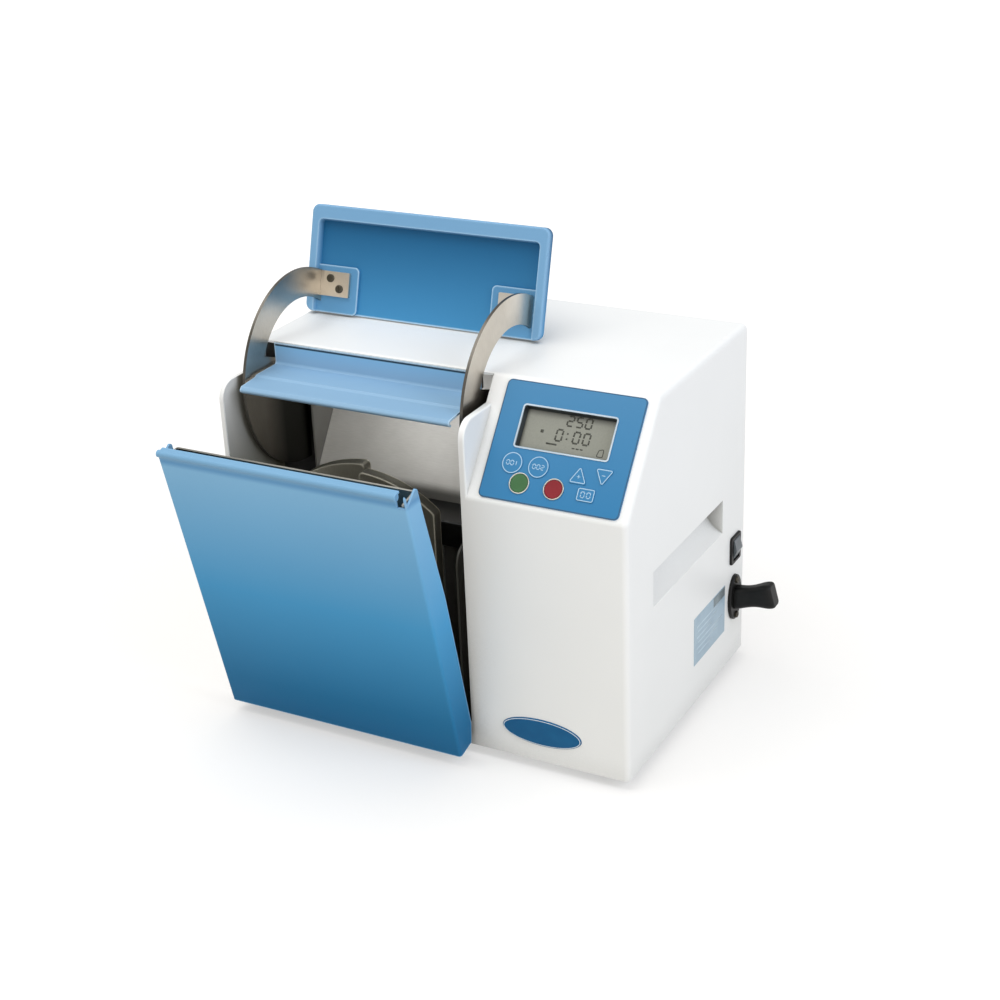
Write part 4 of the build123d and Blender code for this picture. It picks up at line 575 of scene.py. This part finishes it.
mottle = add_node(tree, "ShaderNodeMapRange", Value=cells.outputs["Fac"], To_Min=0.9, To_Max=1.1)
amount = add_node(tree, "ShaderNodeMath", {"operation": "MULTIPLY"}, _0=shade.outputs[0],
                  _1=mottle.outputs["Result"])
tone = add_node(tree, "ShaderNodeVectorMath", {"operation": "SCALE"}, _0=linear("#88897E")[:3],
                Scale=amount.outputs[0])
glass = add_node(tree, "ShaderNodeBsdfPrincipled", Base_Color=tone.outputs[0], Roughness=0.3)
tree.links.new(glass.outputs[0], output.inputs[0])
give(glass_grey, "display_glass")

# The crystal's dark figures: olive black, as matt as the glass over them.
ink_dark = moulded_plastic("display_figures", ("#3A3B32", "#44453B"), 0.4, 0.5, 0.02)
glass_top, figure_lean = -4.3, 0.05
upper_row = ("250", (346.9, 355.9, 364.9), 82.4, 5.8, 9.2, 1.6)
lower_row = ("000", (339.0, 356.2, 366.2), 67.2, 6.0, 10.6, 1.7)
shapes = []
for signs, lefts, s, wide, high, thick in (upper_row, lower_row):
    for sign, x in zip(signs, lefts):
        shapes += figure_bars(sign, x, s, wide, high, thick, figure_lean)
# The colon's two dots, the dot and the dash at the left, and three short dashes: start, height up
# the slope, length and width.
short_bars = ((349.4, 70.0, 1.6, 1.6), (349.4, 75.0, 1.6, 1.6), (323.2, 74.0, 3.0, 3.0),
              (331.5, 63.4, 10.5, 1.6), (357.5, 62.4, 2.8, 1.2), (361.5, 62.4, 2.8, 1.2),
              (365.5, 62.4, 2.8, 1.2))
for x, s, length, thick in short_bars:
    shapes.append(printed_line([(x, s), (x + length, s)], thick, bar_high, closed=False))
bag_sign = [(382.5, 58.5), (388.5, 58.5), (388.5, 66.0), (384.0, 64.5)]
shapes.append(printed_line(round_corners(bag_sign, 1.2), line_wide, bar_high))
slope_piece("display_figures", joined(shapes), glass_top + bite, ink_dark, "frame")

# ------------------------------------------------------------------ circuit boards
# Glass fibre boards under green solder resist: one behind the panel, and one on the base plate for
# the mains supply.

# Solder resist gives a dark green with a slight sheen.
board_green = moulded_plastic("circuit_board_green", ("#1B4A2C", "#235A38"), 0.5, 1.5, 0.1)
give(board_green, "control_board", "power_supply_board")

# ------------------------------------------------------------------ badge
# Bare oval badge on the front of the console: domed blue plastic with a white line inside its
# edge. It is glued on.
badge_x, badge_z, badge_w, badge_h, badge_t = 340.0, 31.5, 83.0, 28.6, 1.4
around = np.linspace(0, 2 * pi, 96, endpoint=False)


def oval_dome(half_w, half_h, high):
    """A shallow oval button: radius runs out along a flat dome and down its rounded edge, angle
    runs once round; (across, up, out) in mm. Its back is closed by the last ring."""
    out = np.array([0.001, 0.3, 0.6, 0.9, 0.965, 0.99, 1.0, 1.0, 0.5, 0.001])
    rise = np.array([1.0, 0.99, 0.97, 0.93, 0.8, 0.55, 0.25, 0.0, 0.0, 0.0]) * high
    x = half_w * out[:, None] * np.cos(around)[None, :]
    z = half_h * out[:, None] * np.sin(around)[None, :]
    h = np.broadcast_to(rise[:, None], x.shape)
    points = np.stack([x, z, h], -1).reshape(-1, 3)
    n = len(around)
    i, j = np.meshgrid(np.arange(len(out) - 1), np.arange(n), indexing="ij")
    after = (j + 1) % n
    faces = np.stack([i * n + j, (i + 1) * n + j, (i + 1) * n + after, i * n + after], -1)
    return points, faces.reshape(-1, 4)


def on_front(points, x, z):
    """Points drawn on the front face (across, up, out) as places in metres."""
    return housing_corner + np.stack([points[:, 0] + x, -points[:, 2], points[:, 1] + z], -1) * MM


# Dyed plastic: deep even blue with a soft weak highlight.
badge_blue = moulded_plastic("blue_badge_plastic", ("#0C5582", "#115E8C"), 0.4, 1.0, 0.03, 0.2)
# White ink: the thin pale line inside the badge's edge.
badge_white = moulded_plastic("white_badge_ink", ("#D9E4EB", "#E6EEF3"), 0.4, 0.5, 0.03)
points, faces = oval_dome(badge_w / 2, badge_h / 2, badge_t)
badge = piece("badge_oval", on_front(points, badge_x, badge_z), faces, badge_blue, "frame")
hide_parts("badge_plate")
line_inset, line_rise = 1.3, 0.8 * badge_t
oval = np.stack([(badge_w / 2 - line_inset) * np.cos(around), (badge_h / 2 - line_inset) * np.sin(around)], 1)
points, faces = printed_line(oval, 0.7, 0.25)
points[:, 2] += line_rise
piece("badge_line", on_front(points, badge_x, badge_z), faces, badge_white, "frame")

# ------------------------------------------------------------------ rating label
# Bare label of printed foil glued on the right side: pale blue, ruled, with a grey field in its
# upper rear corner.
label_low, label_high = np.array(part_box("rating_plate"))
label_w, label_h = (label_high[1:] - label_low[1:]) / MM
# Printed foil: pale grey blue, satin, with a faint unevenness of the glue below.
label_foil = moulded_plastic("pale_label_foil", ("#9DB3C2", "#A9BFCC"), 0.45, 2.0, 0.03)
give(label_foil, "rating_plate")
# Grey and pale inks, matt on the foil.
band_grey = moulded_plastic("grey_label_band", ("#7F8A8E", "#8B969A"), 0.5, 1.0, 0.03)


def on_side(points):
    """Points drawn on the right side from the label's corner (back, up, out) as places in metres."""
    start = np.array([label_high[0], label_low[1], label_low[2]])
    return start + points[:, [2, 0, 1]] * MM


band_z, band_wide, band_start = label_h - 5.5, 10.2, label_w * 0.62
band_ends = [(band_start, band_z), (label_w - 0.4, band_z)]
points, faces = printed_line(band_ends, band_wide, bar_high, closed=False)
piece("label_band", on_side(points), faces, band_grey, "frame")
rule_pitch, rule_wide, rule_high = 6, 1.4, 0.05
rules = []
for i in range(6):
    z = label_h - 12 - rule_pitch * i
    ends = [(6 + 3 * (i % 2), z), (label_w - 8 - 14 * (i % 3), z)]
    rules.append(printed_line(ends, rule_wide, rule_high, closed=False))
points, faces = joined(rules)
row_ink = moulded_plastic("pale_label_ink", ("#BFD2DE", "#C9DAE4"), 0.5, 0.5, 0.03)
piece("label_rules", on_side(points), faces, row_ink, "frame")

# ------------------------------------------------------------------ switch, inlet and connector
# Black polyamide fittings in the right side: a rocker switch that snaps in, and the mains inlet,
# held by two screws, with brass pins and its moulded connector.
# Polyamide is near black, half matt, with a slight grain from the mould.
black_polyamide = moulded_plastic("black_polyamide", ("#060606", "#0C0C0B"), 0.45, 0.5, 0.12, 0.3)
give(black_polyamide, "switch_bezel", "inlet_socket", "mains_connector")
# The rocker is of harder grey plastic and takes a clearer highlight.
rocker_grey = moulded_plastic("grey_rocker_plastic", ("#565D61", "#666D72"), 0.35, 0.5, 0.05)
give(rocker_grey, "switch_rocker")
# Brass pins are yellow and bright.
brass = metal_sheet("bright_brass", ("#B08A3C", "#D8B765"), 0.3, 0.3, (4, 1, 1))
give(brass, "inlet_pins")
# Blackened steel: dark brown heads with a dull gleam.
dark_screw = metal_sheet("blackened_screw_steel", ("#35322B", "#5C574C"), 0.4, 0.3, (1, 1, 1), 0.8)
give(dark_screw, "inlet_screws")

# ------------------------------------------------------------------ lid
# Pressed aluminium lid, powder coated blue: a tray with a raised rim and two pads, to which two
# flat stainless arms are screwed. The arms are fixed on a cross shaft in two plastic bearings.
lid_lean = radians(16.0)
lid_foot = corner(0, 156.63, 361.73)
tray_high, rim_start, rim_end = 0.1, -7.0 * MM, -1.5 * MM

# Blue powder coat, satin, with painted light: darker towards the top of the tray, a painted
# reflection, pale on the rim against the painted shade of the tray's recess, and palest on
# edges, a painted highlight.
lid_blue, tree, output = new_material("blue_lid_coat")
spot = add_node(tree, "ShaderNodeTexCoord").outputs["Object"]
from_foot = add_node(tree, "ShaderNodeVectorMath", {"operation": "SUBTRACT"}, _0=spot, _1=tuple(lid_foot))
out = add_node(tree, "ShaderNodeVectorMath", {"operation": "DOT_PRODUCT"}, _0=from_foot.outputs[0],
               _1=(0.0, -cos(lid_lean), sin(lid_lean)))
on_rim = add_node(tree, "ShaderNodeMapRange", Value=out.outputs["Value"], From_Min=rim_start,
                  From_Max=rim_end)
up = add_node(tree, "ShaderNodeSeparateXYZ", Vector=from_foot.outputs[0])
rise = add_node(tree, "ShaderNodeMapRange", Value=up.outputs["Z"], From_Max=tray_high)
tray = add_node(tree, "ShaderNodeValToRGB", Fac=rise.outputs["Result"])
tray.color_ramp.elements[0].color = linear("#4089BA")
tray.color_ramp.elements[1].color = linear("#06527E")
rim = mixed(tree, on_rim.outputs["Result"], tray.outputs["Color"], linear("#76A4C9"))
rim = mixed(tree, edge_factor(tree, 2.0), rim, linear("#A9CCE4"))
skin = add_node(tree, "ShaderNodeTexNoise", Vector=spot, Scale=1100.0, Detail=1.0)
bump = add_node(tree, "ShaderNodeBump", Strength=0.06, Distance=0.0002, Height=skin.outputs["Fac"])
coat = add_node(tree, "ShaderNodeBsdfPrincipled", Base_Color=rim, Roughness=0.45,
                Normal=bump.outputs["Normal"])
coat.inputs["Specular IOR Level"].default_value = 0.2
tree.links.new(coat.outputs[0], output.inputs[0])
give(lid_blue, "lid_panel")


def arm_shade(tree, place):
    """Painted shade and painted dark reflections on an arm with the lid up, drawn in its metal: its
    web below the ledge and towards the back, half as much between ledge and slab and at the top
    of the left bow, and its outer cut edges, whose normals don't face across the machine. Each is
    a ramp along Y or Z, and the greatest holds."""
    parts = add_node(tree, "ShaderNodeSeparateXYZ", Vector=place)
    low = add_node(tree, "ShaderNodeMapRange", Value=parts.outputs["Z"], From_Min=corner(0, 0, 334).z,
                   From_Max=corner(0, 0, 324).z)
    back = add_node(tree, "ShaderNodeMapRange", Value=parts.outputs["Y"], From_Min=corner(0, 52, 0).y,
                    From_Max=corner(0, 84, 0).y, To_Min=0.8)
    web = add_node(tree, "ShaderNodeMath", {"operation": "MULTIPLY"}, _0=low.outputs["Result"],
                   _1=back.outputs["Result"])
    neck = add_node(tree, "ShaderNodeMapRange", Value=parts.outputs["Z"], From_Min=corner(0, 0, 368).z,
                    From_Max=corner(0, 0, 340).z, To_Max=0.45)
    shade = add_node(tree, "ShaderNodeMath", {"operation": "MAXIMUM"}, _0=web.outputs[0],
                     _1=neck.outputs["Result"])
    bow = add_node(tree, "ShaderNodeMapRange", Value=parts.outputs["Z"], From_Min=corner(0, 0, 388).z,
                   From_Max=corner(0, 0, 410).z, To_Max=0.45)
    left = add_node(tree, "ShaderNodeMath", {"operation": "LESS_THAN"}, _0=parts.outputs["X"],
                    _1=corner(20, 0, 0).x)
    bow = add_node(tree, "ShaderNodeMath", {"operation": "MULTIPLY"}, _0=bow.outputs["Result"],
                   _1=left.outputs[0])
    shade = add_node(tree, "ShaderNodeMath", {"operation": "MAXIMUM"}, _0=shade.outputs[0], _1=bow.outputs[0])
    surface = add_node(tree, "ShaderNodeNewGeometry")
    facing = add_node(tree, "ShaderNodeSeparateXYZ", Vector=surface.outputs["True Normal"])
    sideways = add_node(tree, "ShaderNodeMath", {"operation": "ABSOLUTE"}, _0=facing.outputs["X"])
    cut = add_node(tree, "ShaderNodeMath", {"operation": "LESS_THAN"}, _0=sideways.outputs[0], _1=0.5)
    aside = add_node(tree, "ShaderNodeMath", {"operation": "SUBTRACT"}, _0=parts.outputs["X"],
                     _1=corner(135, 0, 0).x)
    aside = add_node(tree, "ShaderNodeMath", {"operation": "ABSOLUTE"}, _0=aside.outputs[0])
    outer = add_node(tree, "ShaderNodeMath", {"operation": "GREATER_THAN"}, _0=aside.outputs[0],
                     _1=118.4 * MM)
    cut = add_node(tree, "ShaderNodeMath", {"operation": "MULTIPLY"}, _0=cut.outputs[0], _1=outer.outputs[0])
    cut = add_node(tree, "ShaderNodeMath", {"operation": "MULTIPLY"}, _0=cut.outputs[0], _1=0.8)
    return add_node(tree, "ShaderNodeMath", {"operation": "MAXIMUM"}, _0=shade.outputs[0],
                    _1=cut.outputs[0]).outputs[0]


# Stainless steel brushed along its height: warm and bright, with fine upright lines, darkened in
# places with painted shade and painted dark reflections.
arm_steel = metal_sheet("brushed_stainless_arm", ("#B3AB9E", "#E6DED2"), 0.3, 0.3, (1, 1, 20), 1.0,
                        (arm_shade, "#14140F"))
give(arm_steel, "lid_arm_left", "lid_arm_right")
give(dark_screw, "lid_arm_screws")
give(bright_steel, "lid_shaft")
give(black_polyamide, "lid_bearing_left", "lid_bearing_right")

# ------------------------------------------------------------------ ledge
# Folded steel sheet, powder coated pale blue, that stands out in front of the top slab over the
# chamber. Painted shade along its top stands for the dark gap between it and the slab.
ledge_low, ledge_high = np.array(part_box("front_ledge"))
# The stops shift its blue a little up its height, and the last one darkens its top with painted shade of the
# gap under the slab.
ledge_stops = ((0, "#88ACC8"), (0.5, "#8AB0D0"), (0.9, "#84B6DC"), (0.93, "#1C3040"))
# Pale blue powder coat, satin: its folds show fine paler lines, a painted highlight, and its
# hollows darker ones, painted shade.
ledge_blue = powder_coat("blue_ledge_coat", ledge_stops, 0.45, 0.9, ("Z", ledge_low[2], ledge_high[2]), 0.25,
                         "#BCD8EC", ("#3A6C98", 9))
give(ledge_blue, "front_ledge")

# ------------------------------------------------------------------ door
# Folded steel door, powder coated blue, with a rolled bead along its top. A stainless tray backs
# it, and it turns on a pin in two zinc-plated brackets at its foot.
door_low, door_high = np.array(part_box("door_panel"))
door_stops = ((0, "#046392"), (0.12, "#0A6B9A"), (0.5, "#4398CA"), (0.945, "#84B9DE"), (0.963, "#5E96C4"),
              (0.975, "#7AA8CA"), (1, "#7AA8CA"))
# Blue powder coat, satin, with painted light: deep blue at the foot, paler upwards, with a
# painted shadow as a dark line under the bead, a painted highlight on its edges and painted
# shade in its hollows.
door_blue = powder_coat("blue_door_coat", door_stops, 0.45, 0.9, ("Z", door_low[2], door_high[2]), 0.2,
                        "#84B2D6", ("#14507F", 7))
give(door_blue, "door_panel")
# Stainless steel brushed across the door: grey, with fine level lines.
tray_steel = metal_sheet("brushed_stainless_tray", ("#77756E", "#B9B7AF"), 0.36, 0.5, (14, 1, 1))
give(tray_steel, "door_backing")
give(bright_steel, "door_pin")
give(zinc, "door_bracket_left", "door_bracket_right")

# ------------------------------------------------------------------ chamber
# Liner folded from satin stainless sheet, two pressed paddles on rods that pass through black
# guide blocks, and folded brackets under the blocks.


def chamber_painted_shade(tree, place):
    """Painted shade on the liner, drawn in its metal: its side walls, 112.6 mm from the chamber's
    middle, the right one more, and its rear wall below the bend and up under the slab. Each is a
    step along X or a ramp along Z, and the greatest holds."""
    parts = add_node(tree, "ShaderNodeSeparateXYZ", Vector=place)
    left = add_node(tree, "ShaderNodeMath", {"operation": "LESS_THAN"}, _0=parts.outputs["X"],
                    _1=corner(22.4, 0, 0).x)
    right = add_node(tree, "ShaderNodeMath", {"operation": "GREATER_THAN"}, _0=parts.outputs["X"],
                     _1=corner(247.6, 0, 0).x)
    right = add_node(tree, "ShaderNodeMath", {"operation": "MULTIPLY"}, _0=right.outputs[0], _1=0.95)
    walls = add_node(tree, "ShaderNodeMath", {"operation": "MULTIPLY_ADD"}, _0=left.outputs[0], _1=0.66,
                     _2=right.outputs[0])
    rear = add_node(tree, "ShaderNodeMapRange", Value=parts.outputs["Z"], From_Min=corner(0, 0, 207).z,
                    From_Max=corner(0, 0, 196).z, To_Max=0.7)
    upper = add_node(tree, "ShaderNodeMapRange", Value=parts.outputs["Z"], From_Min=corner(0, 0, 322).z,
                     From_Max=corner(0, 0, 334).z, To_Max=0.95)
    walls = add_node(tree, "ShaderNodeMath", {"operation": "MAXIMUM"}, _0=walls.outputs[0],
                     _1=upper.outputs["Result"])
    return add_node(tree, "ShaderNodeMath", {"operation": "MAXIMUM"}, _0=walls.outputs[0],
                    _1=rear.outputs["Result"]).outputs[0]


# Satin stainless: nearly white where the light falls, with level lines. It is given little metal,
# because the satin scatters the light here as paint would.
# Its side walls and its rear wall are darkened with painted shade.
liner_steel = metal_sheet("satin_stainless_liner", ("#CFCDC6", "#EFEDE8"), 0.5, 0.6, (14, 1, 1), 0.1,
                          (chamber_painted_shade, "#2E2D27"))
give(liner_steel, "chamber_liner", "guide_bracket_left", "guide_bracket_right")
# Pressed stainless, coloured olive grey with the chamber's painted shade, and a thin bright line
# on its edges, a painted highlight.
paddle_steel = metal_sheet("pressed_stainless_paddle", ("#6E6B5F", "#8F8C80"), 0.36, 0.5, (1, 1, 14), 0.7,
                           edge="#EDE6D2")
give(paddle_steel, "paddle_left", "paddle_right")
give(bright_steel, "push_rod_left", "push_rod_right")
# Acetal is black and slightly waxy, with a soft clear highlight.
guide_black = moulded_plastic("black_acetal", ("#121212", "#1C1C1C"), 0.38, 0.8, 0.06)
give(guide_black, "guide_block_left", "guide_block_right")

# ------------------------------------------------------------------ drive
# Behind the liner, on the base plate: a turned crankshaft in ball bearings on two cast pedestals,
# driven by a rubber belt from a motor on a folded bracket.
give(bright_steel, "crankshaft", "crank_bearings", "motor_rotor")
give(black_rubber, "drive_belt")
give(zinc, "motor_bracket")
# Painted castings keep the sand's roughness: dark grey and lumpy.
cast_iron = moulded_plastic("painted_cast_iron", ("#3B3E40", "#4A4D50"), 0.6, 2.0, 0.5)
give(cast_iron, "pedestal_left", "pedestal_right")
# Turned aluminium is pale and bright, with fine rings.
machined_aluminium = metal_sheet("machined_aluminium", ("#A8AAAC", "#D2D4D6"), 0.32, 0.3, (8, 1, 1))
give(machined_aluminium, "driven_pulley")
# Motor paint: dark grey powder coat, satin.
motor_paint = powder_coat("grey_motor_paint", ((0, "#2C3033"), (1, "#3A3F42")), 0.5)
give(motor_paint, "motor")
